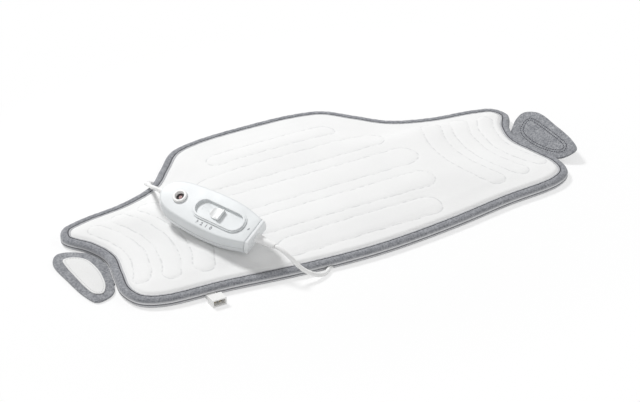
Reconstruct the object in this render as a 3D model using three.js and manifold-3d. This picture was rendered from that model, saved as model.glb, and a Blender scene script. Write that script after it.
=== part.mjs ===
// Contoured heating pad with a hand controller lying on it, in millimetres, +Z up.
// The pad rests on its padded edge binding. Two leads leave the controller, go over the pad's edge
// and lie under the pad: the mains lead with its coil and plug, and the pad lead with its coupling.
import * as THREE from 'three';
import { mergeVertices } from 'three/addons/utils/BufferGeometryUtils.js';
import Module from 'manifold-3d';

const wasm = await Module();
wasm.setup();

// Fits
const GAP = 0.3;

// Pad outline, right half, seen from above with the wide edge in front
const FRONT_Y = -136;
const FRONT_BEND_X = 97;
const FRONT_BEND_RISE = 6.5;
const FRONT_SIDE_X = 179;
const FRONT_SIDE_RISE = 18;
const FRONT_CORNER_X = 283;
const FRONT_CORNER_RISE = 65;
const FRONT_CORNER_ROUND = 29;
const NOTCH_X = 269.6;
const NOTCH_Y = -3;
const WING_X = 294.7;
const WING_Y = 56;
const WING_BACK_Y = 85.7;
const SHOULDER_X = 160.8;
const SHOULDER_Y = 113;
const HUMP_X = 103.3;
const HUMP_SIDE_DROP = 14.3;
const HUMP_Y = 188.3;
const CENTRE_Y = 20;
const OUTLINE_STEPS = 72;

// Edge binding
const BINDING_WIDTH = 11.6;
const BINDING_HEIGHT = 10.2;
const BINDING_ROUND = 2.4;
const BINDING_WEB = 4.2;
const BINDING_LIP = 1.5;
const BINDING_BEAD = 5.2;

// Pad layers: thicknesses at the crown, and how high the crown stands off the table
const CROWN_CLEAR = 12.4;
const BOTTOM_COVER = 0.8;
const WADDING = 1.2;
const WIRE_DIAMETER = 1.4;
const WIRE_ROOM = 0.5;
const TOP_COVER = 2.4;
const EDGE_COVER = 0.6;
const SHELF_COVER = 1.8;
const SHELF_CLEAR = 7.4;
const SHELF_WADDING = 0.5;
const EDGE_RISE = 1.8;
const COVER_TUCK = 8.6;
const COVER_PUFF = 18.6;
const CROWN_SHARE = 0.55;
const SHELF_SHARE = 0.82;

// Embossed channels in the top cover
const CHANNEL_WIDTH = 3;
const CHANNEL_DEPTH = 1;
const ROW_HALF_LENGTHS = [84, 123, 135, 124, 104];
const ROW_MIDDLES = [116, 66, 11.5, -43, -91];
const ROW_WIDTHS = [27, 32, 38.5, 34, 31];
const BOW_MIDDLES = [170, 207, 239];
const BOW_WIDTHS = [24, 21, 19];
const BOW_HALF_HEIGHTS = [80, 75, 66];
const BOW_MIDDLE_Y = -8;
const BOW_DEPTH = 17;

// Heating wire and its thermal cut-out
const WIRE_ROWS = [100, 60, 20, -20, -60];
const WIRE_ROW_HALF = 118;
const WIRE_BOW_XS = [206, 183, 160];
const WIRE_BOW_HALF = 54;
const WIRE_BOW = 6;
const WIRE_STEPS = 110;
const WIRE_SIDES = 5;
const CUTOUT_LENGTH = 10;
const CUTOUT_WIDTH = 4;
const CUTOUT_HEIGHT = 1;

// Closing tabs
const TAB_THICKNESS = 2.6;
const TAB_FOLD_X = 280;
const TAB_FOLD_LOW_Y = -38;
const TAB_FOLD_HIGH_Y = 22;
const TAB_REACH = 40;
const TAB_TOP_Y = 39.5;
const TAB_BOTTOM_Y = -68;
const PATCH_FOLD_BORDER = 3;
const PATCH_FAR_BORDER = 9.5;
const PATCH_TOP_BORDER = 15;
const PATCH_BOTTOM_BORDER = 10.5;
const PATCH_THICKNESS = 1.2;
const RIGHT_TAB_LIFT = 25;

// Coupling socket in the front edge
const SOCKET_X = -200.4;
const SOCKET_WIDTH = 16.5;
const SOCKET_HEIGHT = 8.8;
const SOCKET_FRONT_Y = -137;
const SOCKET_BLOCK = 13;
const SOCKET_NECK_WIDTH = 12;
const SOCKET_NECK_HEIGHT = 4.6;
const SOCKET_NECK = 40;
const SOCKET_WALL = 1.6;
const SOCKET_DEPTH = 10;
const CONTACT_WIDTH = 1.6;
const CONTACT_LENGTH = 4;
const CONTACT_PITCH = 6;

// Controller casing, in its own frame: x from the round end to the flat end, z out of the face
const CASE_NOSE = 74;
const CASE_TAIL = 57;
const CASE_HALF_WIDTH = 27.6;
const TAIL_HALF_WIDTH = 19.2;
const FACE_HEIGHT = 12;
const BELLY_DEPTH = 11;
const BELLY_FULLNESS = 7;
const CASE_WALL = 1.8;
const FACE_ROUND = 1.8;
const FACE_LEAN = 3.2;
const NOSE_LEAN = 2;
const TAIL_RAKE = 7;
const CONTROLLER_X = -151.7;
const CONTROLLER_Y = -35;
const CONTROLLER_HEADING = -67.5;
const CONTROLLER_PITCH = 3.4;
const CONTROLLER_ROLL = 26.8;
const END_CAP = 4.2;
const END_CAP_ROUND = 1.8;

// Slide switch
const SLOT_MIDDLE_X = 10;
const SLOT_LENGTH = 62.5;
const SLOT_WIDTH = 20.2;
const SLOT_DEPTH = 0.8;
const SLOT_FLANGE = 4;
const SLOT_FLANGE_HEIGHT = 2.2;
const SLOT_STEP = 1.6;
const SLOT_STEP_HEIGHT = 1;
const SLOT_SKIRT = 1.4;
const SLOT_FLOOR = 1;
const KNOB_FRONT_X = 13.1;
const KNOB_CLEAR = 0.5;
const KNOB_HALF_WIDTH = 6.9;
const KNOB_HEIGHT = 3.8;
const KNOB_SCOOP = 2.6;
const STEM = 1.8;
const SLIDE_TRAVEL = 19.2;
const CARRIAGE_LENGTH = 14;
const CARRIAGE_WIDTH = 14;
const CARRIAGE_HEIGHT = 2.5;
const SHUTTER_WIDTH = 8;
const SHUTTER_THICKNESS = 0.6;

// Indicator
const LAMP_X = -46;
const BEZEL_RADIUS = 8.5;
const BEZEL_NECK = 7;
const BEZEL_RIM = 2.2;
const BEZEL_CREST = 3;
const WINDOW_RADIUS = 4.6;
const BEZEL_DEPTH = 1.2;
const LENS_RADIUS = 6.2;
const LENS_THICKNESS = 1.6;
const LAMP_RADIUS = 2.5;
const SHROUD_WALL = 1.2;

// Circuit board and what stands on it
const BOARD_TOP = -2.4;
const BOARD_THICKNESS = 1.6;
const BOARD_LENGTH = 88;
const BOARD_WIDTH = 24;
const BOARD_MIDDLE_X = -6;
const BOARD_MARGIN = 3;
const TRIAC_LENGTH = 10;
const TRIAC_DEPTH = 4.5;
const TRIAC_HEIGHT = 6.7;
const TRIAC_TAG = 1.3;
const CAPACITOR_LENGTH = 16;
const CAPACITOR_DEPTH = 7;
const CAPACITOR_HEIGHT = 7.5;
const FUSE_LENGTH = 13;
const FUSE_RADIUS = 2;
const FUSE_CAP = 3;
const FUSE_CAP_RADIUS = 2.6;
const POST_RADIUS = 3;
const SCREW_RADIUS = 1.2;
const SCREW_HEAD_RADIUS = 2.4;
const SCREW_HEAD = 1.8;
const POST_XS = [-28, 34];
const POST_YS = [18.2, 16.6];

// Leads, coil and plugs
const LEAD_CHANNEL = 0.5;
const LEAD_SIDES = 8;
const MAINS_STEPS = 36;
const PAD_LEAD_STEPS = 40;
const TAIL_STEPS = 6;
const MAINS_DIAMETER = 5;
const PAD_LEAD_DIAMETER = 4.6;
const BUSH_NECK = 5.2;
const BUSH_TIP = 3.2;
const BUSH_LENGTH = 22;
const BUSH_FLANGE = 6.8;
const NOSE_BUSH_NECK = 3.4;
const NOSE_BUSH_TIP = 2.9;
const NOSE_BUSH_LENGTH = 5;
const NOSE_BUSH_RISE = 4;
const COIL_X = 70;
const COIL_Y = 15;
const COIL_RADIUS = 39;
const COIL_TURNS = 7.5;
const COIL_PITCH = 5.5;
const COIL_STEPS = 24;
const COIL_SIDES = 6;
const TIE_WIDTH = 7;
const TIE_THICKNESS = 0.8;
const PLUG_X = -12;
const PLUG_Y = 54;
const PLUG_LENGTH = 30;
const PLUG_WIDTH = 24;
const PLUG_THICKNESS = 10.2;
const RELIEF_LENGTH = 22;
const PIN_LENGTH = 17;
const PIN_WIDTH = 6.3;
const PIN_THICKNESS = 1.5;
const PIN_PITCH = 12.7;
const COUPLING_X = -72;
const COUPLING_Y = -6;
const COUPLING_LENGTH = 26;
const COUPLING_WIDTH = 16;
const COUPLING_HEIGHT = 8;
const NOSE_PIECE = 12;

const degrees = THREE.MathUtils.degToRad;
const vector = (x, y, z) => new THREE.Vector3(x, y, z);
const smooth = (points) => new THREE.CatmullRomCurve3(points, false, 'centripetal');

// Materials
const material = (color, roughness, metalness = 0) =>
  new THREE.MeshStandardMaterial({ color, roughness, metalness });
const WHITE_FLEECE = material(0xf4f4f2, 0.95);
const GREY_KNIT = material(0x8b8e93, 0.95);
const WADDING_WHITE = material(0xe9e6dc, 1);
const WIRE_RED = material(0xb5564a, 0.7);
const HOOK_WHITE = material(0xe8e8e6, 0.85);
const CASE_PALE = material(0xe4e7e8, 0.45);
const CASE_GREY = material(0xc3c8ca, 0.5);
const PLASTIC_WHITE = material(0xeeeeec, 0.5);
const DARK_LENS = material(0x3a1d1c, 0.15);
const BOARD_GREEN = material(0x2f6a45, 0.6);
const BLACK_PLASTIC = material(0x26272a, 0.5);
const STEEL = material(0xb9bbbe, 0.3, 1);
const BRASS = material(0xc2a35a, 0.35, 1);
const LEAD_WHITE = material(0xeceae6, 0.55);

// Solids
function toSolid(geometry) {
  const copy = geometry.clone();
  copy.deleteAttribute('normal');
  copy.deleteAttribute('uv');
  const merged = mergeVertices(copy, 1e-4);
  return new wasm.Manifold(new wasm.Mesh({
    numProp: 3,
    vertProperties: new Float32Array(merged.attributes.position.array),
    triVerts: new Uint32Array(merged.index.array),
  }));
}

function toGeometry(solid) {
  const { vertProperties, triVerts } = solid.getMesh();
  const geometry = new THREE.BufferGeometry();
  geometry.setAttribute('position', new THREE.BufferAttribute(new Float32Array(vertProperties), 3));
  geometry.setIndex(new THREE.BufferAttribute(new Uint32Array(triVerts), 1));
  geometry.computeVertexNormals();
  return geometry;
}

const cut = (base, ...tools) =>
  toGeometry(tools.reduce((solid, tool) => solid.subtract(toSolid(tool)), toSolid(base)));
const join = (base, ...others) =>
  toGeometry(others.reduce((solid, other) => solid.add(toSolid(other)), toSolid(base)));
const common = (base, other) => toGeometry(toSolid(base).intersect(toSolid(other)));

function indexed(positions, faces) {
  const geometry = new THREE.BufferGeometry();
  geometry.setAttribute('position', new THREE.Float32BufferAttribute(positions.flat(), 3));
  geometry.setIndex(faces.flat());
  geometry.computeVertexNormals();
  return geometry;
}

// A box from its least corner to its greatest corner
function box(x0, x1, y0, y1, z0, z1) {
  const geometry = new THREE.BoxGeometry(x1 - x0, y1 - y0, z1 - z0);
  return geometry.translate((x0 + x1) / 2, (y0 + y1) / 2, (z0 + z1) / 2);
}

// A cylinder along z from z0 to z1
function post(radius, x, y, z0, z1, sides = 16) {
  const geometry = new THREE.CylinderGeometry(radius, radius, z1 - z0, sides);
  return geometry.rotateX(Math.PI / 2).translate(x, y, (z0 + z1) / 2);
}

// A cylinder along x from x0 to x1
function rod(radius, x0, x1, y, z, sides = 16) {
  const geometry = new THREE.CylinderGeometry(radius, radius, x1 - x0, sides);
  return geometry.rotateZ(Math.PI / 2).translate((x0 + x1) / 2, y, z);
}

// A turned piece about z, from a closed list of radius and height pairs
function turned(profile, sides = 24) {
  const closed = profile[0][0] > 0 ? [...profile, profile[0]] : profile;
  const points = closed.map(([r, z]) => new THREE.Vector2(r, z));
  return new THREE.LatheGeometry(points, sides).rotateX(Math.PI / 2);
}

// An outline raised from z0 to z1
function prism(points, z0, z1, holes = []) {
  const shape = new THREE.Shape(points);
  shape.holes = holes.map((hole) => new THREE.Path(hole));
  return new THREE.ExtrudeGeometry(shape, { depth: z1 - z0, bevelEnabled: false }).translate(0, 0, z0);
}

// A slot outline with round ends, along x
function stadium(length, width, middleX, arcSteps = 8) {
  const r = width / 2;
  const points = [];
  for (const [side, start] of [[1, -Math.PI / 2], [-1, Math.PI / 2]]) {
    for (let i = 0; i <= arcSteps; i += 1) {
      const a = start + (Math.PI * i) / arcSteps;
      points.push(new THREE.Vector2(middleX + side * (length / 2 - r) + r * Math.cos(a), r * Math.sin(a)));
    }
  }
  return points;
}

// A round section drawn along a path
function tube(path, diameter, sides, steps) {
  const section = new THREE.Shape();
  for (let i = 0; i < sides; i += 1) {
    const a = (2 * Math.PI * i) / sides;
    section[i ? 'lineTo' : 'moveTo']((diameter / 2) * Math.cos(a), (diameter / 2) * Math.sin(a));
  }
  return new THREE.ExtrudeGeometry(section, { steps, extrudePath: path, bevelEnabled: false });
}

// Closed rings of points, outermost first, skinned above and below and filled inside the last one
function slab(rings) {
  const positions = [];
  for (const level of ['high', 'low']) {
    for (const ring of rings) {
      for (const p of ring.points) positions.push([p.x, p.y, ring[level]]);
    }
  }
  const upper = [];
  let start = 0;
  rings.forEach(({ points }, k) => {
    const n = points.length;
    const next = start + n;
    const m = k + 1 < rings.length ? rings[k + 1].points.length : 0;
    for (let i = 0; i < m; i += 1) {
      const j = (i + 1) % n;
      upper.push([start + i, start + j, next + j], [start + i, next + j, next + i]);
    }
    if (m === 0) {
      for (const [a, b, c] of THREE.ShapeUtils.triangulateShape(points, [])) {
        upper.push([start + a, start + b, start + c]);
      }
    }
    start = next;
  });
  const lower = upper.map(([a, b, c]) => [start + a, start + c, start + b]);
  const rim = rings[0].points.flatMap((_, i) => {
    const j = (i + 1) % rings[0].points.length;
    return [[i, start + i, start + j], [i, start + j, j]];
  });
  return indexed(positions, [...upper, ...lower, ...rim]);
}

// A closed section swept round a closed row of points: each station is a list of corners
function sweep(stations) {
  const n = stations.length;
  const m = stations[0].length;
  const faces = [];
  for (let i = 0; i < n; i += 1) {
    for (let k = 0; k < m; k += 1) {
      const j = (i + 1) % n;
      const l = (k + 1) % m;
      const [a, b, c, d] = [i * m + k, j * m + k, j * m + l, i * m + l];
      faces.push([a, b, c], [a, c, d]);
    }
  }
  return indexed(stations.flat(), faces);
}

// Levels of an outline, lowest first, skinned and closed flat at both ends
function loft(levels) {
  const n = levels[0].points.length;
  const positions = levels.flatMap((level) => level.points.map((p) => [p.x, p.y, level.z]));
  const faces = [];
  for (let level = 0; level < levels.length - 1; level += 1) {
    for (let i = 0; i < n; i += 1) {
      const j = (i + 1) % n;
      const [a, b] = [level * n + i, level * n + j];
      faces.push([a, b, b + n], [a, b + n, a + n]);
    }
  }
  for (const [level, up] of [[0, false], [levels.length - 1, true]]) {
    for (const [a, b, c] of THREE.ShapeUtils.triangulateShape(levels[level].points, [])) {
      const base = level * n;
      faces.push(up ? [base + a, base + b, base + c] : [base + a, base + c, base + b]);
    }
  }
  return indexed(positions, faces);
}

// Points moved square to a closed counter-clockwise outline, inwards by a distance
function inset(points, distance) {
  const n = points.length;
  return points.map((p, i) => {
    const before = p.clone().sub(points[(i + n - 1) % n]).normalize();
    const after = points[(i + 1) % n].clone().sub(p).normalize();
    const along = before.clone().add(after).normalize();
    const reach = distance / along.dot(after);
    return new THREE.Vector2(p.x - along.y * reach, p.y + along.x * reach);
  });
}

// Pad outline
function padOutline() {
  const half = [
    [0, FRONT_Y],
    [FRONT_BEND_X, FRONT_Y + FRONT_BEND_RISE],
    [FRONT_SIDE_X, FRONT_Y + FRONT_SIDE_RISE],
    [FRONT_CORNER_X - FRONT_CORNER_ROUND, FRONT_Y + FRONT_CORNER_RISE - 1.35 * FRONT_CORNER_ROUND],
    [FRONT_CORNER_X - 0.24 * FRONT_CORNER_ROUND, FRONT_Y + FRONT_CORNER_RISE - 0.86 * FRONT_CORNER_ROUND],
    [FRONT_CORNER_X, FRONT_Y + FRONT_CORNER_RISE],
    [(FRONT_CORNER_X + NOTCH_X) / 2, (FRONT_Y + FRONT_CORNER_RISE + NOTCH_Y) / 2],
    [NOTCH_X, NOTCH_Y],
    [NOTCH_X + (WING_X - NOTCH_X) / 3, (NOTCH_Y + WING_Y) / 2],
    [WING_X - 3.7, WING_Y - 10.5],
    [WING_X, WING_Y],
    [WING_X - 8.2, (WING_Y + 2 * WING_BACK_Y) / 3],
    [WING_X - 34, WING_BACK_Y],
    [(WING_X + 2 * SHOULDER_X) / 3, (2 * WING_BACK_Y + SHOULDER_Y) / 3],
    [SHOULDER_X, SHOULDER_Y],
    [(SHOULDER_X + HUMP_X) / 2, (SHOULDER_Y + HUMP_Y - HUMP_SIDE_DROP) / 2],
    [HUMP_X, HUMP_Y - HUMP_SIDE_DROP],
    [HUMP_X - 36, HUMP_Y - 3.3],
    [0, HUMP_Y],
  ];
  const mirrored = half.slice(1, -1).reverse().map(([x, y]) => [-x, y]);
  const controls = [...half, ...mirrored].map(([x, y]) => vector(x, y, 0));
  const curve = new THREE.CatmullRomCurve3(controls, true, 'centripetal');
  return curve.getPoints(OUTLINE_STEPS).slice(0, OUTLINE_STEPS).map((p) => new THREE.Vector2(p.x, p.y));
}

const OUTLINE = padOutline();
const middlePoint = new THREE.Vector2(0, CENTRE_Y);
const COARSE_OUTLINE = OUTLINE.filter((_, i) => i % 2 === 0);
const shrunk = (share) => COARSE_OUTLINE.map((p) => p.clone().lerp(middlePoint, 1 - share));

// How far out a point lies, as a share of the way from the middle to the outline
function outwardShare(x, y) {
  const p = new THREE.Vector2(x, y).sub(middlePoint);
  if (p.length() < 1e-6) return 0;
  for (let i = 0; i < COARSE_OUTLINE.length; i += 1) {
    const a = COARSE_OUTLINE[i].clone().sub(middlePoint);
    const b = COARSE_OUTLINE[(i + 1) % COARSE_OUTLINE.length].clone().sub(middlePoint);
    const edge = b.clone().sub(a);
    const det = p.x * edge.y - p.y * edge.x;
    const far = (a.x * edge.y - a.y * edge.x) / det;
    const along = (a.x * p.y - a.y * p.x) / det;
    if (far > 0 && along >= 0 && along <= 1) return 1 / far;
  }
  return 1;
}

// Heights of the layers, from the table up, at the edge, the shelf and the crown
const EDGE_SEAT = BINDING_BEAD + GAP;
const TOP_EDGE_SEAT = EDGE_SEAT + BOTTOM_COVER + GAP;
function stack(clear, wadding, cover) {
  const levels = { bottom: [clear, clear + BOTTOM_COVER] };
  levels.lower = [levels.bottom[1] + GAP, levels.bottom[1] + GAP + wadding];
  levels.wire = levels.lower[1] + WIRE_ROOM + WIRE_DIAMETER / 2;
  const above = levels.wire + WIRE_DIAMETER / 2 + WIRE_ROOM;
  levels.upper = [above, above + wadding];
  levels.top = [levels.upper[1] + GAP, levels.upper[1] + GAP + cover];
  return levels;
}
const CROWN = stack(CROWN_CLEAR, WADDING, TOP_COVER);
const SHELF = stack(SHELF_CLEAR, SHELF_WADDING, SHELF_COVER);
const INNER_EDGE_TOP = TOP_EDGE_SEAT + EDGE_COVER + EDGE_RISE;

const rimRing = inset(COARSE_OUTLINE, COVER_TUCK);
const puffRing = inset(COARSE_OUTLINE, COVER_PUFF);
const shelfRing = shrunk(SHELF_SHARE);
const crownRing = shrunk(CROWN_SHARE);

function mix(levels, share) {
  if (share <= CROWN_SHARE) return levels.crown;
  const k = Math.min(1, (share - CROWN_SHARE) / (SHELF_SHARE - CROWN_SHARE));
  return levels.crown + (levels.shelf - levels.crown) * k;
}

// Height of the pad's upper face at a point
function padTop(x, y) {
  const share = outwardShare(x, y);
  const onSlope = mix({ crown: CROWN.top[1], shelf: SHELF.top[1] }, share);
  if (share <= SHELF_SHARE) return onSlope;
  const k = (share - SHELF_SHARE) / (1 - SHELF_SHARE);
  return onSlope + (BINDING_HEIGHT - SHELF.top[1]) * k;
}
const wireHeight = (x, y) => mix({ crown: CROWN.wire, shelf: SHELF.wire }, outwardShare(x, y));

// One embossed channel: the outline of a capsule along a line of points, as a ring-shaped cutter
function channelRing(line, width) {
  const capSteps = 3;
  const loopAt = (half) => {
    const points = [];
    const n = line.length;
    const normal = (i) => {
      const d = line[Math.min(i + 1, n - 1)].clone().sub(line[Math.max(i - 1, 0)]).normalize();
      return new THREE.Vector2(-d.y, d.x);
    };
    for (let i = 0; i < n; i += 1) points.push(line[i].clone().addScaledVector(normal(i), -half));
    for (const [end, sign] of [[n - 1, 1], [0, -1]]) {
      const side = normal(end);
      for (let k = 1; k < capSteps; k += 1) {
        const a = -Math.PI / 2 + (Math.PI * k) / capSteps;
        const ahead = new THREE.Vector2(side.y, -side.x).multiplyScalar(sign * half * Math.cos(a));
        points.push(line[end].clone().add(ahead).addScaledVector(side, sign * half * Math.sin(a)));
      }
      if (sign > 0) {
        for (let i = n - 1; i >= 0; i -= 1) points.push(line[i].clone().addScaledVector(normal(i), half));
      }
    }
    return points;
  };
  const [outer, root, inner] = [CHANNEL_WIDTH, 0, -CHANNEL_WIDTH].map((extra) => loopAt(width / 2 + extra));
  const raised = (p, rise) => [p.x, p.y, padTop(p.x, p.y) + rise];
  return sweep(root.map((p, i) =>
    [raised(p, -CHANNEL_DEPTH), raised(outer[i], CHANNEL_DEPTH), raised(inner[i], CHANNEL_DEPTH)]));
}

function channelLines() {
  const rows = ROW_MIDDLES.map((y, i) => {
    const reach = ROW_HALF_LENGTHS[i] - ROW_WIDTHS[i] / 2;
    const line = [new THREE.Vector2(-reach, y), new THREE.Vector2(reach, y)];
    return { line, width: ROW_WIDTHS[i] };
  });
  const bows = [1, -1].flatMap((side) => BOW_MIDDLES.map((x, i) => {
    const reach = BOW_HALF_HEIGHTS[i] - BOW_WIDTHS[i] / 2;
    const line = [-1, 0, 1].map((k) =>
      new THREE.Vector2(side * (x + BOW_DEPTH * k * k), BOW_MIDDLE_Y + reach * k));
    return { line, width: BOW_WIDTHS[i] };
  }));
  return [...rows, ...bows];
}

// Pad layers
function topCover() {
  const edge = { low: TOP_EDGE_SEAT, high: TOP_EDGE_SEAT + EDGE_COVER };
  const base = slab([
    { points: rimRing, ...edge },
    { points: puffRing, low: edge.low + EDGE_RISE / 2, high: INNER_EDGE_TOP },
    { points: shelfRing, low: SHELF.top[0], high: SHELF.top[1] },
    { points: crownRing, low: CROWN.top[0], high: CROWN.top[1] },
  ]);
  return cut(base, ...channelLines().map(({ line, width }) => channelRing(line, width)));
}

function bottomCover() {
  const edge = { low: EDGE_SEAT, high: EDGE_SEAT + BOTTOM_COVER };
  return slab([
    { points: rimRing, ...edge },
    { points: puffRing, ...edge },
    { points: shelfRing, low: SHELF.bottom[0], high: SHELF.bottom[1] },
    { points: crownRing, low: CROWN.bottom[0], high: CROWN.bottom[1] },
  ]);
}

function wadding(layer) {
  const [crown, shelf] = [CROWN[layer], SHELF[layer]];
  return slab([
    { points: shelfRing, low: shelf[0], high: shelf[1] },
    { points: crownRing, low: crown[0], high: crown[1] },
  ]);
}

function bindingRing() {
  const section = [
    [BINDING_ROUND, 0],
    [0, BINDING_ROUND],
    [0, BINDING_HEIGHT - BINDING_ROUND],
    [BINDING_ROUND, BINDING_HEIGHT],
    [BINDING_WIDTH - 1, BINDING_HEIGHT],
    [BINDING_WIDTH, BINDING_HEIGHT - BINDING_LIP],
    [BINDING_WEB, BINDING_HEIGHT - BINDING_LIP],
    [BINDING_WEB, BINDING_BEAD],
    [BINDING_WIDTH, BINDING_BEAD],
    [BINDING_WIDTH - BINDING_ROUND, 0],
  ];
  const rings = section.map(([s]) => inset(OUTLINE, s));
  return sweep(OUTLINE.map((_, i) => section.map(([, z], k) => [rings[k][i].x, rings[k][i].y, z])));
}

// Closing tabs: a root that fills the notch of the pad's end, and a flap that folds at the notch's mouth.
// side is 1 for the right-hand tab and -1 for the left-hand one.
function tabRoot(side) {
  const xs = [side * (NOTCH_X - BINDING_WIDTH), side * (TAB_FOLD_X - GAP)].sort((a, b) => a - b);
  const field = box(...xs, TAB_FOLD_LOW_Y - 8, TAB_FOLD_HIGH_Y + 4, GAP, GAP + TAB_THICKNESS);
  return cut(field, prism(inset(OUTLINE, -GAP), -1, BINDING_HEIGHT));
}

function flapOutline(side) {
  const near = TAB_FOLD_X + GAP;
  const far = TAB_FOLD_X + TAB_REACH;
  const outer = [
    [near, TAB_FOLD_LOW_Y],
    [near + 7, TAB_BOTTOM_Y + 11],
    [near + 17, TAB_BOTTOM_Y + 2],
    [near + 30, TAB_BOTTOM_Y],
    [far - 3.5, TAB_BOTTOM_Y + 16],
    [far, (TAB_TOP_Y + TAB_BOTTOM_Y) / 2],
    [far, TAB_TOP_Y - 15],
    [far - 11, TAB_TOP_Y],
    [near + 16, TAB_TOP_Y - 1.5],
    [near, TAB_FOLD_HIGH_Y],
  ].map(([x, y]) => vector(side * x, y, 0));
  const points = smooth(side > 0 ? outer : outer.reverse()).getPoints(27);
  return points.map((p) => new THREE.Vector2(p.x, p.y));
}

// A rounded three-cornered patch, with its broad side along the fold
function patchOutline(side) {
  const [near, far] = [TAB_FOLD_X + PATCH_FOLD_BORDER, TAB_FOLD_X + TAB_REACH - PATCH_FAR_BORDER];
  const [low, high] = [TAB_BOTTOM_Y + PATCH_BOTTOM_BORDER, TAB_TOP_Y - PATCH_TOP_BORDER];
  const corners = [[0.86, 0.05], [0.97, 0.24], [1, 0.55], [1, 0.82], [0.9, 1], [0.5, 0.99], [0.12, 0.87],
    [0, 0.63], [0.06, 0.37], [0.28, 0.12], [0.57, 0]].map(([across, along]) =>
    vector(side * (near + (far - near) * across), low + (high - low) * along, 0));
  const points = new THREE.CatmullRomCurve3(side > 0 ? corners : corners.reverse(), true, 'centripetal').getPoints(33);
  return points.slice(0, -1).map((p) => new THREE.Vector2(p.x, p.y));
}

const flap = (side) => prism(flapOutline(side), GAP, GAP + TAB_THICKNESS);
function hookPatch(side) {
  const z = side < 0 ? GAP + TAB_THICKNESS + GAP : -PATCH_THICKNESS;
  return prism(patchOutline(side), z, z + PATCH_THICKNESS);
}
function lifted(geometry) {
  const [x, z] = [TAB_FOLD_X, GAP + TAB_THICKNESS];
  return geometry.translate(-x, 0, -z).rotateY(-degrees(RIGHT_TAB_LIFT)).translate(x, 0, z);
}

// Coupling socket
const SOCKET_BACK_Y = SOCKET_FRONT_Y + SOCKET_BLOCK;
function socketHousing() {
  const [x0, x1] = [SOCKET_X - SOCKET_WIDTH / 2, SOCKET_X + SOCKET_WIDTH / 2];
  const block = box(x0, x1, SOCKET_FRONT_Y, SOCKET_BACK_Y, 0, SOCKET_HEIGHT);
  const neck = box(SOCKET_X - SOCKET_NECK_WIDTH / 2, SOCKET_X + SOCKET_NECK_WIDTH / 2,
    SOCKET_BACK_Y - SOCKET_WALL, SOCKET_BACK_Y + SOCKET_NECK, 0, SOCKET_NECK_HEIGHT);
  const mouth = box(x0 + SOCKET_WALL, x1 - SOCKET_WALL, SOCKET_FRONT_Y - 1, SOCKET_FRONT_Y + SOCKET_DEPTH,
    SOCKET_WALL, SOCKET_HEIGHT - SOCKET_WALL);
  return cut(join(block, neck), mouth);
}
const socketPassage = () => box(SOCKET_X - SOCKET_NECK_WIDTH / 2 - GAP, SOCKET_X + SOCKET_NECK_WIDTH / 2 + GAP,
  SOCKET_BACK_Y - 1, SOCKET_BACK_Y + SOCKET_NECK, -1, SOCKET_NECK_HEIGHT + GAP);
function socketContact(side) {
  const x = SOCKET_X + (side * CONTACT_PITCH) / 2;
  const back = SOCKET_FRONT_Y + SOCKET_DEPTH - GAP;
  return box(x - CONTACT_WIDTH / 2, x + CONTACT_WIDTH / 2, back - CONTACT_LENGTH, back,
    SOCKET_WALL + GAP, SOCKET_HEIGHT - SOCKET_WALL - GAP);
}

// Heating wire: bowed runs in both end fields and long runs in the middle, as one wire
function wirePath() {
  const route = [];
  const bow = (side, x, up) => {
    for (const k of [-1, 0, 1]) {
      const h = up ? k : -k;
      route.push(vector(side * (x + WIRE_BOW * h * h), BOW_MIDDLE_Y + WIRE_BOW_HALF * h, 0));
    }
  };
  WIRE_BOW_XS.forEach((x, i) => bow(-1, x, i % 2 === 0));
  WIRE_ROWS.forEach((y, i) => {
    const from = i % 2 ? 1 : -1;
    route.push(...[from, 0, -from].map((k) => vector(k * WIRE_ROW_HALF, y, 0)));
  });
  [...WIRE_BOW_XS].reverse().forEach((x, i) => bow(1, x, i % 2 === 0));
  const onLayers = smooth(route).getSpacedPoints(WIRE_STEPS);
  return smooth(onLayers.map((p) => vector(p.x, p.y, wireHeight(p.x, p.y))));
}

function thermalCutout() {
  const { x, y, z } = wirePath().getPoint(0);
  const far = y - WIRE_DIAMETER;
  return box(x - CUTOUT_WIDTH / 2, x + CUTOUT_WIDTH / 2, far - CUTOUT_LENGTH, far,
    z - CUTOUT_HEIGHT / 2, z + CUTOUT_HEIGHT / 2);
}

// Controller casing
function caseOutline() {
  const w = CASE_HALF_WIDTH;
  const side = [
    [CASE_TAIL, TAIL_HALF_WIDTH],
    [CASE_TAIL / 2, 0.945 * w],
    [0, w],
    [25 - CASE_NOSE / 1.36, 0.94 * w],
    [20 - CASE_NOSE, 0.8 * w],
    [6 - CASE_NOSE, 0.5 * w],
  ];
  const points = [...side, [-CASE_NOSE, 0], ...side.map(([x, y]) => [x, -y]).reverse()];
  const curve = new THREE.CatmullRomCurve3(points.map(([x, y]) => vector(x, y, 0)), false, 'centripetal');
  return curve.getPoints(24).map((p) => new THREE.Vector2(p.x, p.y));
}
const CASE_OUTLINE = caseOutline();

// The flat end is raked: cut back more and more from the face down to the belly
const RAKE = TAIL_RAKE / (FACE_HEIGHT + BELLY_DEPTH);
const tailAt = (z) => CASE_TAIL - RAKE * (FACE_HEIGHT - z);
const caseReach = (z) => (tailAt(z) + CASE_NOSE) / (CASE_TAIL + CASE_NOSE);

// The belly is a full round, drawn in towards the round end
const bellyNarrow = (share) => (1 - share ** BELLY_FULLNESS) ** (1 / BELLY_FULLNESS);
function bellyLevels(outline, depth, top) {
  const shares = [0.99, 0.9, 0.7, 0.4, 0];
  const levels = shares.map((share) => {
    const down = share * depth;
    const narrow = bellyNarrow(share);
    const shorten = 1 - 0.45 * (1 - narrow);
    const z = top - down;
    const points = outline.map((p) =>
      new THREE.Vector2(tailAt(z) - (CASE_TAIL - p.x) * shorten * caseReach(z), p.y * narrow));
    return { points, z };
  });
  return levels;
}

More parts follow.
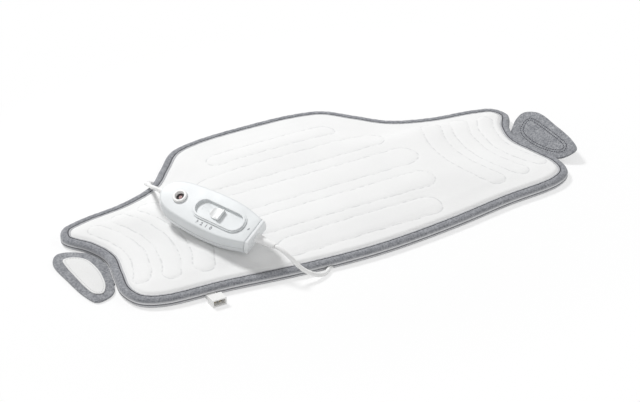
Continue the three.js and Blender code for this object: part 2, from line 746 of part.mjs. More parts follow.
// The walls of the face shell lean in from the parting line to the face
const PART_LINE = GAP / 2;
const leanShare = (z) => 1 - (FACE_LEAN * z) / (FACE_HEIGHT * CASE_HALF_WIDTH);
function leaned(z) {
  const shorten = 1 - (NOSE_LEAN * z) / (FACE_HEIGHT * (CASE_NOSE + CASE_TAIL));
  return CASE_OUTLINE.map((p) =>
    new THREE.Vector2(tailAt(z) - (CASE_TAIL - p.x) * shorten * caseReach(z), p.y * leanShare(z)));
}
function topShellOuter() {
  const rim = leaned(FACE_HEIGHT - FACE_ROUND);
  return loft([
    { points: leaned(PART_LINE), z: PART_LINE },
    { points: rim, z: FACE_HEIGHT - FACE_ROUND },
    { points: inset(rim, 0.13 * FACE_ROUND), z: FACE_HEIGHT - 0.5 * FACE_ROUND },
    { points: inset(rim, 0.5 * FACE_ROUND), z: FACE_HEIGHT - 0.13 * FACE_ROUND },
    { points: inset(rim, FACE_ROUND), z: FACE_HEIGHT },
  ]);
}

function caseTop() {
  const outer = topShellOuter();
  const ceiling = FACE_HEIGHT - CASE_WALL;
  const cavity = loft([
    { points: inset(leaned(-1), CASE_WALL), z: -1 },
    { points: inset(leaned(ceiling - 0.5 * FACE_ROUND), CASE_WALL), z: ceiling - 0.5 * FACE_ROUND },
    { points: inset(leaned(ceiling), CASE_WALL + 0.5 * FACE_ROUND), z: ceiling },
  ]);
  const shell = cut(outer, cavity);
  const posts = screwPlaces().map(({ x, y }) => post(POST_RADIUS, x, y, PART_LINE, FACE_HEIGHT - 1, 8));
  const trimmed = posts.map((item) => common(item, outer));
  const holes = screwPlaces().map(({ x, y }) => post(SCREW_RADIUS + GAP, x, y, -1, SCREW_TOP + GAP, 8));
  return cut(join(shell, ...trimmed), ...holes,
    prism(stadium(SLOT_LENGTH + 2 * (SLOT_SKIRT + GAP), SLOT_WIDTH + 2 * (SLOT_SKIRT + GAP), SLOT_MIDDLE_X),
      FACE_HEIGHT - 4, FACE_HEIGHT + 1),
    post(BEZEL_NECK + GAP, LAMP_X, 0, FACE_HEIGHT - 4, FACE_HEIGHT + 1, 24),
    ...leadHoles());
}

function caseBottom() {
  const outer = loft(bellyLevels(CASE_OUTLINE, BELLY_DEPTH, -PART_LINE));
  const inside = bellyLevels(inset(CASE_OUTLINE, CASE_WALL), BELLY_DEPTH - CASE_WALL, -PART_LINE);
  const lifted = inside.map((level) => ({
    points: level.points.map((p) => new THREE.Vector2(Math.min(p.x, tailAt(level.z) - CASE_WALL), p.y)),
    z: level.z,
  }));
  lifted[lifted.length - 1].z = 1;
  const shell = cut(outer, loft(lifted));
  const bosses = screwPlaces().map(({ x, y }) => post(POST_RADIUS, x, y, -BELLY_DEPTH, -PART_LINE, 8));
  const rests = BOARD_RESTS.map(([x, y]) =>
    post(2.2, x, y, -BELLY_DEPTH, BOARD_TOP - BOARD_THICKNESS - GAP, 6));
  const added = [...bosses, ...rests].map((item) => common(item, outer));
  const shafts = screwPlaces().map(({ x, y }) => post(SCREW_RADIUS + GAP, x, y, -BELLY_DEPTH, 1, 8));
  const heads = screwPlaces().map(({ x, y }) =>
    post(SCREW_HEAD_RADIUS + GAP, x, y, -BELLY_DEPTH - 1, SCREW_SEAT, 8));
  return cut(join(shell, ...added), ...shafts, ...heads, ...leadHoles());
}

// Casing screws go up through the lower shell's bosses into the upper shell's posts
const SCREW_SEAT = -6.5;
const SCREW_TOP = 6;
const BOARD_RESTS = [[-40, 7], [-40, -7], [30, 7], [30, -7]];
function screwPlaces() {
  return POST_XS.flatMap((x, i) => [1, -1].map((side) => ({ x, y: side * POST_YS[i] })));
}
function screw({ x, y }) {
  const seat = SCREW_SEAT - GAP;
  return turned([[0, seat - SCREW_HEAD], [SCREW_HEAD_RADIUS, seat - SCREW_HEAD], [SCREW_HEAD_RADIUS, seat],
    [SCREW_RADIUS, seat], [SCREW_RADIUS, SCREW_TOP], [0, SCREW_TOP]], 8).translate(x, y, 0);
}

const leadHoles = () => [
  rod(BUSH_NECK + GAP, CASE_TAIL - TAIL_RAKE - 8, CASE_TAIL + 8, 0, 0),
  rod(NOSE_BUSH_NECK + GAP, -CASE_NOSE - 8, 10 - CASE_NOSE, 0, NOSE_BUSH_RISE),
];

const acrossX = new THREE.Matrix4().makeBasis(vector(0, 1, 0), vector(0, 0, 1), vector(1, 0, 0));
const raked = new THREE.Matrix4().set(1, 0, RAKE, -RAKE * FACE_HEIGHT, 0, 1, 0, 0, 0, 0, 1, 0, 0, 0, 0, 1);
function endCap() {
  const w = TAIL_HALF_WIDTH - GAP;
  const under = [0.95, 0.85, 0.65, 0.4].map((share) => [bellyNarrow(share) * w, -share * BELLY_DEPTH]);
  const upper = w * leanShare(FACE_HEIGHT - FACE_ROUND);
  const side = [...under, [w, 0], [upper, FACE_HEIGHT - FACE_ROUND],
    [upper - 0.5 * FACE_ROUND, FACE_HEIGHT - 0.13 * FACE_ROUND - GAP]];
  const outline = [...side, ...side.map(([y, z]) => [-y, z]).reverse()].map(([y, z]) => new THREE.Vector2(y, z));
  const plate = loft([
    { points: outline, z: CASE_TAIL + GAP },
    { points: outline, z: CASE_TAIL + GAP + END_CAP - END_CAP_ROUND },
    { points: inset(outline, 0.3 * END_CAP_ROUND), z: CASE_TAIL + GAP + END_CAP - 0.3 * END_CAP_ROUND },
    { points: inset(outline, END_CAP_ROUND), z: CASE_TAIL + GAP + END_CAP },
  ]).applyMatrix4(acrossX).applyMatrix4(raked);
  return cut(plate, rod(BUSH_NECK + GAP, CASE_TAIL - TAIL_RAKE - 8, CASE_TAIL + 8, 0, 0));
}

const alongX = (profile) => turned(profile, 14).rotateY(Math.PI / 2);
const BUSH_END = CASE_TAIL + GAP + END_CAP + BUSH_LENGTH;
const tailBush = () => {
  const inner = tailAt(-BUSH_FLANGE) - CASE_WALL - 2 * GAP;
  return alongX([[0, inner - 2.5], [BUSH_FLANGE, inner - 2.5], [BUSH_FLANGE, inner], [BUSH_NECK, inner],
    [BUSH_NECK, tailAt(BUSH_NECK) + GAP + END_CAP + 1], [BUSH_TIP, BUSH_END], [0, BUSH_END]]);
};
const NOSE_BUSH_END = -CASE_NOSE - NOSE_BUSH_LENGTH;
const noseBush = () => alongX([[0, NOSE_BUSH_END], [NOSE_BUSH_TIP, NOSE_BUSH_END],
  [NOSE_BUSH_NECK, -CASE_NOSE - 1], [NOSE_BUSH_NECK, 8 - CASE_NOSE], [0, 8 - CASE_NOSE]]).translate(0, 0, NOSE_BUSH_RISE);

// Slide switch
const TRAY_TOP = FACE_HEIGHT - SLOT_DEPTH;
const TRAY_BOTTOM = TRAY_TOP - SLOT_FLOOR;
const POCKET_LEFT = SLOT_MIDDLE_X - SLOT_LENGTH / 2;
const KNOB_BACK_X = POCKET_LEFT + KNOB_CLEAR + SLIDE_TRAVEL;
const STEM_X = (KNOB_BACK_X + KNOB_FRONT_X) / 2 + 1;
function slotTray() {
  const seat = FACE_HEIGHT + GAP;
  const reach = SLOT_FLANGE - SLOT_STEP;
  const step = prism(stadium(SLOT_LENGTH + 2 * SLOT_FLANGE, SLOT_WIDTH + 2 * SLOT_FLANGE, SLOT_MIDDLE_X),
    seat, seat + SLOT_STEP_HEIGHT);
  const flange = prism(stadium(SLOT_LENGTH + 2 * reach, SLOT_WIDTH + 2 * reach, SLOT_MIDDLE_X),
    seat + SLOT_STEP_HEIGHT / 2, seat + SLOT_FLANGE_HEIGHT);
  const skirt = prism(stadium(SLOT_LENGTH + 2 * SLOT_SKIRT, SLOT_WIDTH + 2 * SLOT_SKIRT, SLOT_MIDDLE_X),
    TRAY_BOTTOM, seat + SLOT_FLANGE_HEIGHT / 2);
  const pocket = prism(stadium(SLOT_LENGTH, SLOT_WIDTH, SLOT_MIDDLE_X), TRAY_TOP, seat + SLOT_FLANGE_HEIGHT + 1);
  const half = STEM / 2 + GAP;
  const slit = box(STEM_X - SLIDE_TRAVEL - half, STEM_X + half, -half, half, TRAY_BOTTOM - 1, TRAY_TOP + 1);
  return cut(join(step, flange, skirt), pocket, slit);
}

const acrossY = new THREE.Matrix4().makeBasis(vector(1, 0, 0), vector(0, 0, 1), vector(0, -1, 0));
const CARRIAGE_TOP = TRAY_BOTTOM - GAP;
function knob() {
  const seat = TRAY_TOP + GAP;
  const top = seat + KNOB_HEIGHT;
  const middle = KNOB_BACK_X + KNOB_HALF_WIDTH;
  const plan = [new THREE.Vector2(KNOB_FRONT_X, -KNOB_HALF_WIDTH), new THREE.Vector2(KNOB_FRONT_X, KNOB_HALF_WIDTH)];
  for (let i = 0; i <= 10; i += 1) {
    const a = Math.PI / 2 + (Math.PI * i) / 10;
    plan.push(new THREE.Vector2(middle + KNOB_HALF_WIDTH * Math.cos(a), KNOB_HALF_WIDTH * Math.sin(a)));
  }
  const profile = [[KNOB_BACK_X - 1, seat], [KNOB_FRONT_X + 1, seat], [KNOB_FRONT_X + 1, top],
    [KNOB_FRONT_X - 1.6, top], [KNOB_FRONT_X - 4.4, top - KNOB_SCOOP], [KNOB_BACK_X + 4, top - KNOB_SCOOP],
    [KNOB_BACK_X + 1.5, top - 0.55 * KNOB_SCOOP], [KNOB_BACK_X - 1, top - 0.8 * KNOB_SCOOP]];
  const across = prism(profile.map(([x, z]) => new THREE.Vector2(x, z)), -SLOT_WIDTH, SLOT_WIDTH)
    .applyMatrix4(acrossY);
  const body = common(prism(plan, seat, top), across);
  const stem = box(STEM_X - STEM / 2, STEM_X + STEM / 2, -STEM / 2, STEM / 2,
    CARRIAGE_TOP - CARRIAGE_HEIGHT, seat + 1);
  return join(body, stem);
}

// The carriage under the tray, with a thin shutter that keeps the slit covered all along the travel
function carriage() {
  const half = STEM / 2 + GAP;
  const [l, w] = [CARRIAGE_LENGTH / 2, CARRIAGE_WIDTH / 2];
  const plate = box(STEM_X - l, STEM_X + l, -w, w, CARRIAGE_TOP - CARRIAGE_HEIGHT, CARRIAGE_TOP);
  const reach = SLIDE_TRAVEL + half + 1;
  const shutter = box(STEM_X - reach, STEM_X + reach, -SHUTTER_WIDTH / 2, SHUTTER_WIDTH / 2,
    CARRIAGE_TOP - SHUTTER_THICKNESS, CARRIAGE_TOP);
  return cut(join(plate, shutter), box(STEM_X - half, STEM_X + half, -half, half, CARRIAGE_TOP - 9, CARRIAGE_TOP + 1));
}

const BOARD_SEAT = BOARD_TOP + GAP;
const CONTACT_TOP = CARRIAGE_TOP - CARRIAGE_HEIGHT - GAP;
const SWITCH_BASE_TOP = CONTACT_TOP - 0.5 - GAP;
const SWITCH_FROM = STEM_X - SLIDE_TRAVEL - CARRIAGE_LENGTH / 2;
const SWITCH_TO = STEM_X + CARRIAGE_LENGTH / 2;
const switchBase = () => box(SWITCH_FROM, SWITCH_TO, -CARRIAGE_WIDTH / 2, CARRIAGE_WIDTH / 2,
  BOARD_SEAT, SWITCH_BASE_TOP);
function contactComb() {
  const z = [SWITCH_BASE_TOP + GAP, CONTACT_TOP];
  const spine = box(SWITCH_FROM + 1, SWITCH_TO - 1, -6, -4, ...z);
  const fingers = [0, 1, 2, 3].map((step) => {
    const x = STEM_X - (step * SLIDE_TRAVEL) / 3;
    return box(x - 1.5, x + 1.5, -4.5, 5.5, ...z);
  });
  return join(spine, ...fingers);
}

// Indicator
const BEZEL_BOTTOM = FACE_HEIGHT - BEZEL_DEPTH;
const LENS_TOP = BEZEL_BOTTOM - GAP;
const SHROUD_TOP = LENS_TOP - LENS_THICKNESS - GAP;
const bezel = () => turned([[BEZEL_RADIUS, FACE_HEIGHT + GAP], [BEZEL_RADIUS, FACE_HEIGHT + GAP + 0.6 * BEZEL_RIM],
  [BEZEL_RADIUS - 0.9, FACE_HEIGHT + GAP + BEZEL_RIM], [BEZEL_RADIUS - BEZEL_CREST, FACE_HEIGHT + GAP + BEZEL_RIM],
  [WINDOW_RADIUS, BEZEL_BOTTOM + 0.8],
  [WINDOW_RADIUS, BEZEL_BOTTOM], [BEZEL_NECK, BEZEL_BOTTOM], [BEZEL_NECK, FACE_HEIGHT + GAP]])
  .translate(LAMP_X, 0, 0);
const lens = () => post(LENS_RADIUS, LAMP_X, 0, LENS_TOP - LENS_THICKNESS, LENS_TOP, 20);
const lamp = () => turned([[0, BOARD_SEAT], [LAMP_RADIUS, BOARD_SEAT], [LAMP_RADIUS, SHROUD_TOP - 3.5],
  [0.7 * LAMP_RADIUS, SHROUD_TOP - 1.8], [0, SHROUD_TOP - 1]], 14).translate(LAMP_X, 0, 0);
const shroud = () => turned([[LAMP_RADIUS + GAP, BOARD_SEAT], [LAMP_RADIUS + GAP + SHROUD_WALL, BOARD_SEAT],
  [LAMP_RADIUS + GAP + SHROUD_WALL, SHROUD_TOP], [LAMP_RADIUS + GAP, SHROUD_TOP]], 16).translate(LAMP_X, 0, 0);

// Board and the pieces on it
const board = () => box(BOARD_MIDDLE_X - BOARD_LENGTH / 2, BOARD_MIDDLE_X + BOARD_LENGTH / 2,
  -BOARD_WIDTH / 2, BOARD_WIDTH / 2, BOARD_TOP - BOARD_THICKNESS, BOARD_TOP);
const BOARD_START = BOARD_MIDDLE_X - BOARD_LENGTH / 2;
const BOARD_END = BOARD_MIDDLE_X + BOARD_LENGTH / 2;
const BOARD_SIDE = BOARD_WIDTH / 2 - BOARD_MARGIN;
function triac() {
  const [x0, x1] = [BOARD_END - BOARD_MARGIN - TRIAC_LENGTH, BOARD_END - BOARD_MARGIN];
  const body = box(x0, x1, BOARD_SIDE - TRIAC_DEPTH, BOARD_SIDE, BOARD_SEAT, BOARD_SEAT + TRIAC_HEIGHT);
  const tag = box(x0, x1, BOARD_SIDE - TRIAC_TAG, BOARD_SIDE, BOARD_SEAT, BOARD_SEAT + TRIAC_HEIGHT + TRIAC_TAG);
  return join(body, tag);
}
const capacitor = () => box(BOARD_END - CAPACITOR_LENGTH, BOARD_END, -BOARD_SIDE - BOARD_MARGIN,
  CAPACITOR_DEPTH - BOARD_SIDE - BOARD_MARGIN, BOARD_SEAT, BOARD_SEAT + CAPACITOR_HEIGHT);
function fuse() {
  const from = BOARD_START + FUSE_LENGTH;
  const z = BOARD_SEAT + FUSE_CAP_RADIUS;
  const y = BOARD_SIDE;
  const glass = rod(FUSE_RADIUS, from, from + FUSE_LENGTH, y, z, 12);
  const caps = [from, from + FUSE_LENGTH - FUSE_CAP].map((x) => rod(FUSE_CAP_RADIUS, x, x + FUSE_CAP, y, z, 12));
  return join(glass, ...caps);
}

const CONTROLLER_TURN = new THREE.Euler(degrees(CONTROLLER_ROLL), degrees(CONTROLLER_PITCH),
  degrees(CONTROLLER_HEADING), 'ZYX');
const controllerTurn = new THREE.Matrix4().makeRotationFromEuler(CONTROLLER_TURN);

// How high the controller lies, so that its lowest places just clear the pad's upper face
function controllerHeight() {
  let height = -Infinity;
  for (const geometry of [caseBottom(), endCap(), tailBush(), noseBush()]) {
    const at = geometry.attributes.position;
    for (let i = 0; i < at.count; i += 1) {
      const p = vector().fromBufferAttribute(at, i).applyMatrix4(controllerTurn);
      const under = padTop(p.x + CONTROLLER_X, p.y + CONTROLLER_Y);
      height = Math.max(height, under + GAP - p.z);
    }
  }
  return height;
}
const CONTROLLER_Z = controllerHeight();
const controllerPoint = (x, y, z) =>
  vector(x, y, z).applyMatrix4(controllerTurn).add(vector(CONTROLLER_X, CONTROLLER_Y, CONTROLLER_Z));
// Leads: routes chosen by hand, on the pad, over its edge, along the table and under the pad
const FLOOR_LIE = 0.1;
const mainsLie = MAINS_DIAMETER / 2 + FLOOR_LIE;
const padLeadLie = PAD_LEAD_DIAMETER / 2 + FLOOR_LIE;
const COIL_LAYER = COIL_PITCH;
const at = (list) => list.map(([x, y, z]) => vector(x, y, z));

const mainsRoute = [
  ...[GAP, 4].map((step) => controllerPoint(BUSH_END + step, 0, 0)),
  ...at([
    [-114.7, -123.1, 32.9],
    [-110.5, -128.9, 27.5],
    [-103.8, -133.2, 18.2],
    [-98, -137.3, 12.5],
    [-88.6, -141.4, 6.9],
    [-80.1, -141.3, 3.8],
    [-72.4, -138.5, 2.7],
    [-65.3, -132.6, 2.7],
    [-52, -115, mainsLie],
    [-38, -96, mainsLie],
    [-22, -75, mainsLie],
    [-2, -53, mainsLie],
    [24, -34, mainsLie],
    [48, -25.6, mainsLie],
    [COIL_X - 8, COIL_Y - COIL_RADIUS, mainsLie],
    [COIL_X - GAP, COIL_Y - COIL_RADIUS, mainsLie],
  ]),
];

const padLeadRoute = [
  ...[-GAP, -5].map((step) => controllerPoint(NOSE_BUSH_END + step, 0, NOSE_BUSH_RISE)),
  ...at([
    [-186.8, 50.5, 47.4],
    [-184.6, 61.5, 43.6],
    [-180.2, 72, 38.6],
    [-175, 82, 32.4],
    [-170, 92, 25],
    [-166.2, 101.2, 18.6],
    [-164.4, 109.6, 14.7],
    [-163.2, 115.4, 12.4],
    [-161.2, 120.2, 9.9],
    [-157, 124, 7.3],
    [-150.8, 125.2, 4.6],
    [-144, 122.2, 2.9],
    [-139.4, 114.6, padLeadLie],
    [-138.6, 104, padLeadLie],
    [-142, 84, padLeadLie],
    [-141, 58, padLeadLie],
    [-133, 32, padLeadLie],
    [-119, 8, padLeadLie],
    [-104, COUPLING_Y + 2, 3.2],
    [COUPLING_X - COUPLING_LENGTH / 2 - 7, COUPLING_Y, COUPLING_HEIGHT / 2 + FLOOR_LIE],
    [COUPLING_X - COUPLING_LENGTH / 2 - GAP, COUPLING_Y, COUPLING_HEIGHT / 2 + FLOOR_LIE],
  ]),
];

const plugAxis = PLUG_THICKNESS / 2 + FLOOR_LIE;
const RELIEF_END_X = PLUG_X + RELIEF_LENGTH;
const tailRoute = at([
  [COIL_X - GAP, COIL_Y + COIL_RADIUS, mainsLie + COIL_LAYER],
  [COIL_X - 8, COIL_Y + COIL_RADIUS, mainsLie + COIL_LAYER],
  [(COIL_X + RELIEF_END_X) / 2 + 8, (COIL_Y + COIL_RADIUS + PLUG_Y) / 2, 7.2],
  [(COIL_X + RELIEF_END_X) / 2 - 8, PLUG_Y, 6],
  [RELIEF_END_X + 8, PLUG_Y, plugAxis],
  [RELIEF_END_X + GAP, PLUG_Y, plugAxis],
]);

// Coil: spirals in along the table, climbs in the half turn where it reverses, and spirals out on top
class CoilPath extends THREE.Curve {
  getPoint(t, target = new THREE.Vector3()) {
    const turns = t * COIL_TURNS;
    const radius = COIL_RADIUS - COIL_PITCH * (COIL_TURNS / 2 - Math.abs(turns - COIL_TURNS / 2));
    const angle = -Math.PI / 2 + 2 * Math.PI * turns;
    const rise = COIL_LAYER * THREE.MathUtils.smoothstep(turns - COIL_TURNS / 2, -0.25, 0.25);
    return target.set(COIL_X + radius * Math.cos(angle), COIL_Y + radius * Math.sin(angle), mainsLie + rise);
  }
}

function coil() {
  const path = new CoilPath();
  const steps = COIL_TURNS * COIL_STEPS;
  const points = path.getPoints(steps);
  let least = Infinity;
  points.forEach((p, i) => {
    for (let j = i + COIL_STEPS / 2; j < points.length; j += 1) least = Math.min(least, p.distanceTo(points[j]));
  });
  console.log(`coil: least gap to itself ${(least - MAINS_DIAMETER).toFixed(2)} mm`);
  return tube(path, MAINS_DIAMETER, COIL_SIDES, steps);
}

// The tie is a strap over the coil's turns, on the side away from the plug
function coilTie() {
  const inner = COIL_RADIUS - (COIL_TURNS / 2) * COIL_PITCH - MAINS_DIAMETER / 2 - 2 * GAP;
  const outer = COIL_RADIUS + MAINS_DIAMETER / 2 + 2 * GAP;
  const top = mainsLie + COIL_LAYER + MAINS_DIAMETER / 2 + GAP;
  const y = [COIL_Y - TIE_WIDTH / 2, COIL_Y + TIE_WIDTH / 2];
  const block = box(COIL_X + inner - TIE_THICKNESS, COIL_X + outer + TIE_THICKNESS, ...y,
    FLOOR_LIE, top + TIE_THICKNESS);
  return cut(block, box(COIL_X + inner, COIL_X + outer, y[0] - 1, y[1] + 1, -1, top));
}

// Mains plug with two flat pins, and its strain relief
function plugBody() {
  const [y0, y1] = [PLUG_Y - PLUG_WIDTH / 2, PLUG_Y + PLUG_WIDTH / 2];
  const chamfer = 3;
  const outline = [[PLUG_X - GAP, y0 + 6], [PLUG_X - GAP, y1 - 6], [PLUG_X - 9, y1], [PLUG_X - PLUG_LENGTH + 2, y1],
    [PLUG_X - PLUG_LENGTH, y1 - chamfer], [PLUG_X - PLUG_LENGTH, y0 + chamfer], [PLUG_X - PLUG_LENGTH + 2, y0],
    [PLUG_X - 9, y0]].map(([x, y]) => new THREE.Vector2(x, y));
  return prism(outline, FLOOR_LIE, FLOOR_LIE + PLUG_THICKNESS);
}
const plugRelief = () => alongX([[0, 0], [PLUG_THICKNESS / 2 - 1, 0], [MAINS_DIAMETER / 2 + 0.7, RELIEF_LENGTH],
  [0, RELIEF_LENGTH]]).translate(PLUG_X, PLUG_Y, plugAxis);
function plugPin(side) {
  const y = PLUG_Y + (side * PIN_PITCH) / 2;
  const x = PLUG_X - PLUG_LENGTH - GAP;
  return box(x - PIN_LENGTH, x, y - PIN_THICKNESS / 2, y + PIN_THICKNESS / 2,
    plugAxis - PIN_WIDTH / 2, plugAxis + PIN_WIDTH / 2);
}

// Coupling plug of the pad lead: a grip and a nose that fits the pad's socket
const NOSE_CLEAR = 0.4;
function couplingPlug() {
  const z = COUPLING_HEIGHT / 2 + FLOOR_LIE;
  const [x0, x1] = [COUPLING_X - COUPLING_LENGTH / 2, COUPLING_X + COUPLING_LENGTH / 2];
  const grip = box(x0, x1, COUPLING_Y - COUPLING_WIDTH / 2, COUPLING_Y + COUPLING_WIDTH / 2,
    z - COUPLING_HEIGHT / 2, z + COUPLING_HEIGHT / 2);
  const halfWidth = SOCKET_WIDTH / 2 - SOCKET_WALL - NOSE_CLEAR;
  const halfHeight = SOCKET_HEIGHT / 2 - SOCKET_WALL - NOSE_CLEAR;
  const nose = box(x1 - 2, x1 + NOSE_PIECE, COUPLING_Y - halfWidth, COUPLING_Y + halfWidth,
    z - halfHeight, z + halfHeight);
  const slots = [1, -1].map((side) => {
    const y = COUPLING_Y + (side * CONTACT_PITCH) / 2;
    const half = CONTACT_WIDTH / 2 + NOSE_CLEAR;
    return box(x1 + NOSE_PIECE - CONTACT_LENGTH - 1, x1 + NOSE_PIECE + 1, y - half, y + half,
      z - halfHeight - 1, z + halfHeight - 0.8);
  });
  return cut(join(grip, nose), ...slots);
}

// The binding gives way where the leads and the socket go through under it
function edgeBinding() {
  return cut(bindingRing(), socketPassage(),
    tube(smooth(mainsRoute), MAINS_DIAMETER + 2 * LEAD_CHANNEL, LEAD_SIDES, MAINS_STEPS),
    tube(smooth(padLeadRoute), PAD_LEAD_DIAMETER + 2 * LEAD_CHANNEL, LEAD_SIDES, PAD_LEAD_STEPS));
}

// Assembly
function mesh(name, geometry, finish) {
  const item = new THREE.Mesh(geometry, finish);
  item.name = name;
  return item;
}
const onController = (name, geometry, finish) =>
  mesh(name, geometry.applyMatrix4(controllerTurn).translate(CONTROLLER_X, CONTROLLER_Y, CONTROLLER_Z), finish);

const pad = [
  mesh('top_cover', topCover(), WHITE_FLEECE),
  mesh('upper_wadding', wadding('upper'), WADDING_WHITE),
  mesh('heating_wire', tube(wirePath(), WIRE_DIAMETER, WIRE_SIDES, WIRE_STEPS), WIRE_RED),
  mesh('thermal_cutout', thermalCutout(), STEEL),
  mesh('lower_wadding', wadding('lower'), WADDING_WHITE),
  mesh('bottom_cover', bottomCover(), GREY_KNIT),
  mesh('edge_binding', edgeBinding(), GREY_KNIT),
  mesh('left_tab_root', tabRoot(-1), GREY_KNIT),
  mesh('left_tab_flap', flap(-1), GREY_KNIT),
  mesh('left_hook_patch', hookPatch(-1), HOOK_WHITE),
  mesh('right_tab_root', tabRoot(1), GREY_KNIT),
  mesh('right_tab_flap', lifted(flap(1)), GREY_KNIT),
  mesh('right_hook_patch', lifted(hookPatch(1)), HOOK_WHITE),
  mesh('socket_housing', socketHousing(), PLASTIC_WHITE),
  mesh('socket_contact_left', socketContact(-1), BRASS),
  mesh('socket_contact_right', socketContact(1), BRASS),
];

const controller = [
  onController('controller_top_shell', caseTop(), CASE_PALE),
  onController('controller_bottom_shell', caseBottom(), CASE_PALE),
  onController('controller_end_cap', endCap(), CASE_GREY),
  ...screwPlaces().map((place, i) => onController(`casing_screw_${i + 1}`, screw(place), STEEL)),
  onController('mains_lead_bush', tailBush(), LEAD_WHITE),
  onController('pad_lead_bush', noseBush(), LEAD_WHITE),
  onController('slot_tray', slotTray(), CASE_PALE),
  onController('slider_knob', knob(), CASE_PALE),
  onController('slider_carriage', carriage(), PLASTIC_WHITE),
  onController('switch_base', switchBase(), BLACK_PLASTIC),
  onController('contact_comb', contactComb(), BRASS),
  onController('indicator_bezel', bezel(), CASE_PALE),
  onController('indicator_lens', lens(), DARK_LENS),
  onController('indicator_lamp', lamp(), WIRE_RED),
  onController('lamp_shroud', shroud(), BLACK_PLASTIC),
  onController('circuit_board', board(), BOARD_GREEN),
  onController('triac', triac(), BLACK_PLASTIC),
  onController('capacitor', capacitor(), WIRE_RED),
  onController('fuse_link', fuse(), STEEL),
];

const leads = [
  mesh('mains_lead', tube(smooth(mainsRoute), MAINS_DIAMETER, LEAD_SIDES, MAINS_STEPS), LEAD_WHITE),
  mesh('mains_coil', coil(), LEAD_WHITE),
  mesh('mains_tail', tube(smooth(tailRoute), MAINS_DIAMETER, LEAD_SIDES, TAIL_STEPS), LEAD_WHITE),
  mesh('coil_tie', coilTie(), BLACK_PLASTIC),
  mesh('plug_strain_relief', plugRelief(), LEAD_WHITE),
  mesh('mains_plug_body', plugBody(), LEAD_WHITE),
  mesh('plug_pin_near', plugPin(-1), STEEL),
  mesh('plug_pin_far', plugPin(1), STEEL),
  mesh('pad_lead', tube(smooth(padLeadRoute), PAD_LEAD_DIAMETER, LEAD_SIDES, PAD_LEAD_STEPS), LEAD_WHITE),
  mesh('coupling_plug', couplingPlug(), PLASTIC_WHITE),
];

// The origin is under the middle of the pad and its controller, at table height
const bounds = new THREE.Box3();
for (const item of [...pad, ...controller]) bounds.expandByObject(item);
const middle = bounds.getCenter(new THREE.Vector3());
const group = new THREE.Group();
for (const item of [...pad, ...controller, ...leads]) {
  item.geometry.translate(-middle.x, -middle.y, -bounds.min.z);
  group.add(item);
}

export default group;
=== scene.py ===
"""Contoured heating pad with a hand controller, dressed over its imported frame.

The pad lies on its edge binding and the controller lies on the pad. Two leads leave the controller,
go over the pad's edge and lie under the pad. Sizes in the classes are in millimetres, in the pad's
own plan, and meshes are in metres in the row frame.
"""

import logging
import math
from collections.abc import Callable, Iterable, Sequence
from dataclasses import dataclass, field
from enum import Enum

import bmesh
import bpy
import numpy as np
from bmesh.types import BMEdge, BMesh, BMLayerItem, BMVert
from bpy.types import ID, Material, Mesh, Node, NodeSocket, NodeTree, Object
from mathutils import Matrix, Vector


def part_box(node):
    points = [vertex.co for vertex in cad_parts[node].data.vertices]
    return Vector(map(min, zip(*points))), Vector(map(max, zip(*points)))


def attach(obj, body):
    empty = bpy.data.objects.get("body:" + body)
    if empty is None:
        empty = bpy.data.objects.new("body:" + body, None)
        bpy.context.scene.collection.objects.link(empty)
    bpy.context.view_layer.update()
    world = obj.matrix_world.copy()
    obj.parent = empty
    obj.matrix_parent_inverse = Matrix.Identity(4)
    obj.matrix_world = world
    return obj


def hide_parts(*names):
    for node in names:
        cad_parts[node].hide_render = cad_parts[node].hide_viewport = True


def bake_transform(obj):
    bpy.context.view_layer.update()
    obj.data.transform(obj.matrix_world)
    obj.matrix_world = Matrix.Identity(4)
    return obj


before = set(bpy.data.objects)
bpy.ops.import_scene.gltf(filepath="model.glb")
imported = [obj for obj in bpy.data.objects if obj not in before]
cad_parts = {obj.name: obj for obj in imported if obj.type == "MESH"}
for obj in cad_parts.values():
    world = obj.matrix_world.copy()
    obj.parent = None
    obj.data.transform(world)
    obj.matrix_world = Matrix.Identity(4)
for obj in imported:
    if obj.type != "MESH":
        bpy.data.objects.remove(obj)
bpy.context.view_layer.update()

LOG = logging.getLogger("heating_pad")
MM = 0.001
UP = Vector((0, 0, 1))
SOCKET_X = -200.4
SOCKET_FRONT_Y = -137.0
LEAST_MITRE = 0.3
CREASE = 32.0

Pair = tuple[float, float]
Triple = tuple[float, float, float]
Heights = Callable[[np.ndarray], np.ndarray]


class Body(Enum):
    """The rigid bodies that pieces ride on."""

    PAD = "pad"
    SLIDER = "slider"
    LEFT_TAB = "left_tab"
    RIGHT_TAB = "right_tab"


class Side(Enum):
    """Which end of the pad a closing tab is on."""

    LEFT = -1
    RIGHT = 1


# Lines and places


def plan_shift() -> Vector:
    """Finds from the socket how far the row frame lies from the pad's plan, in millimetres."""
    low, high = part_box("socket_housing")[:2]
    return Vector(((low.x + high.x) / 2 / MM - SOCKET_X, low.y / MM - SOCKET_FRONT_Y, 0.0))


PLAN_SHIFT = plan_shift()


def plan(x: float, y: float, z: float = 0.0) -> Vector:
    """Row-frame point, in metres, of a point of the pad's plan in millimetres."""
    return (Vector((x, y, z)) + PLAN_SHIFT) * MM


def flat_rows(points: Iterable[Vector]) -> np.ndarray:
    """Gives points as rows of x and y."""
    return np.array([(p.x, p.y) for p in points])


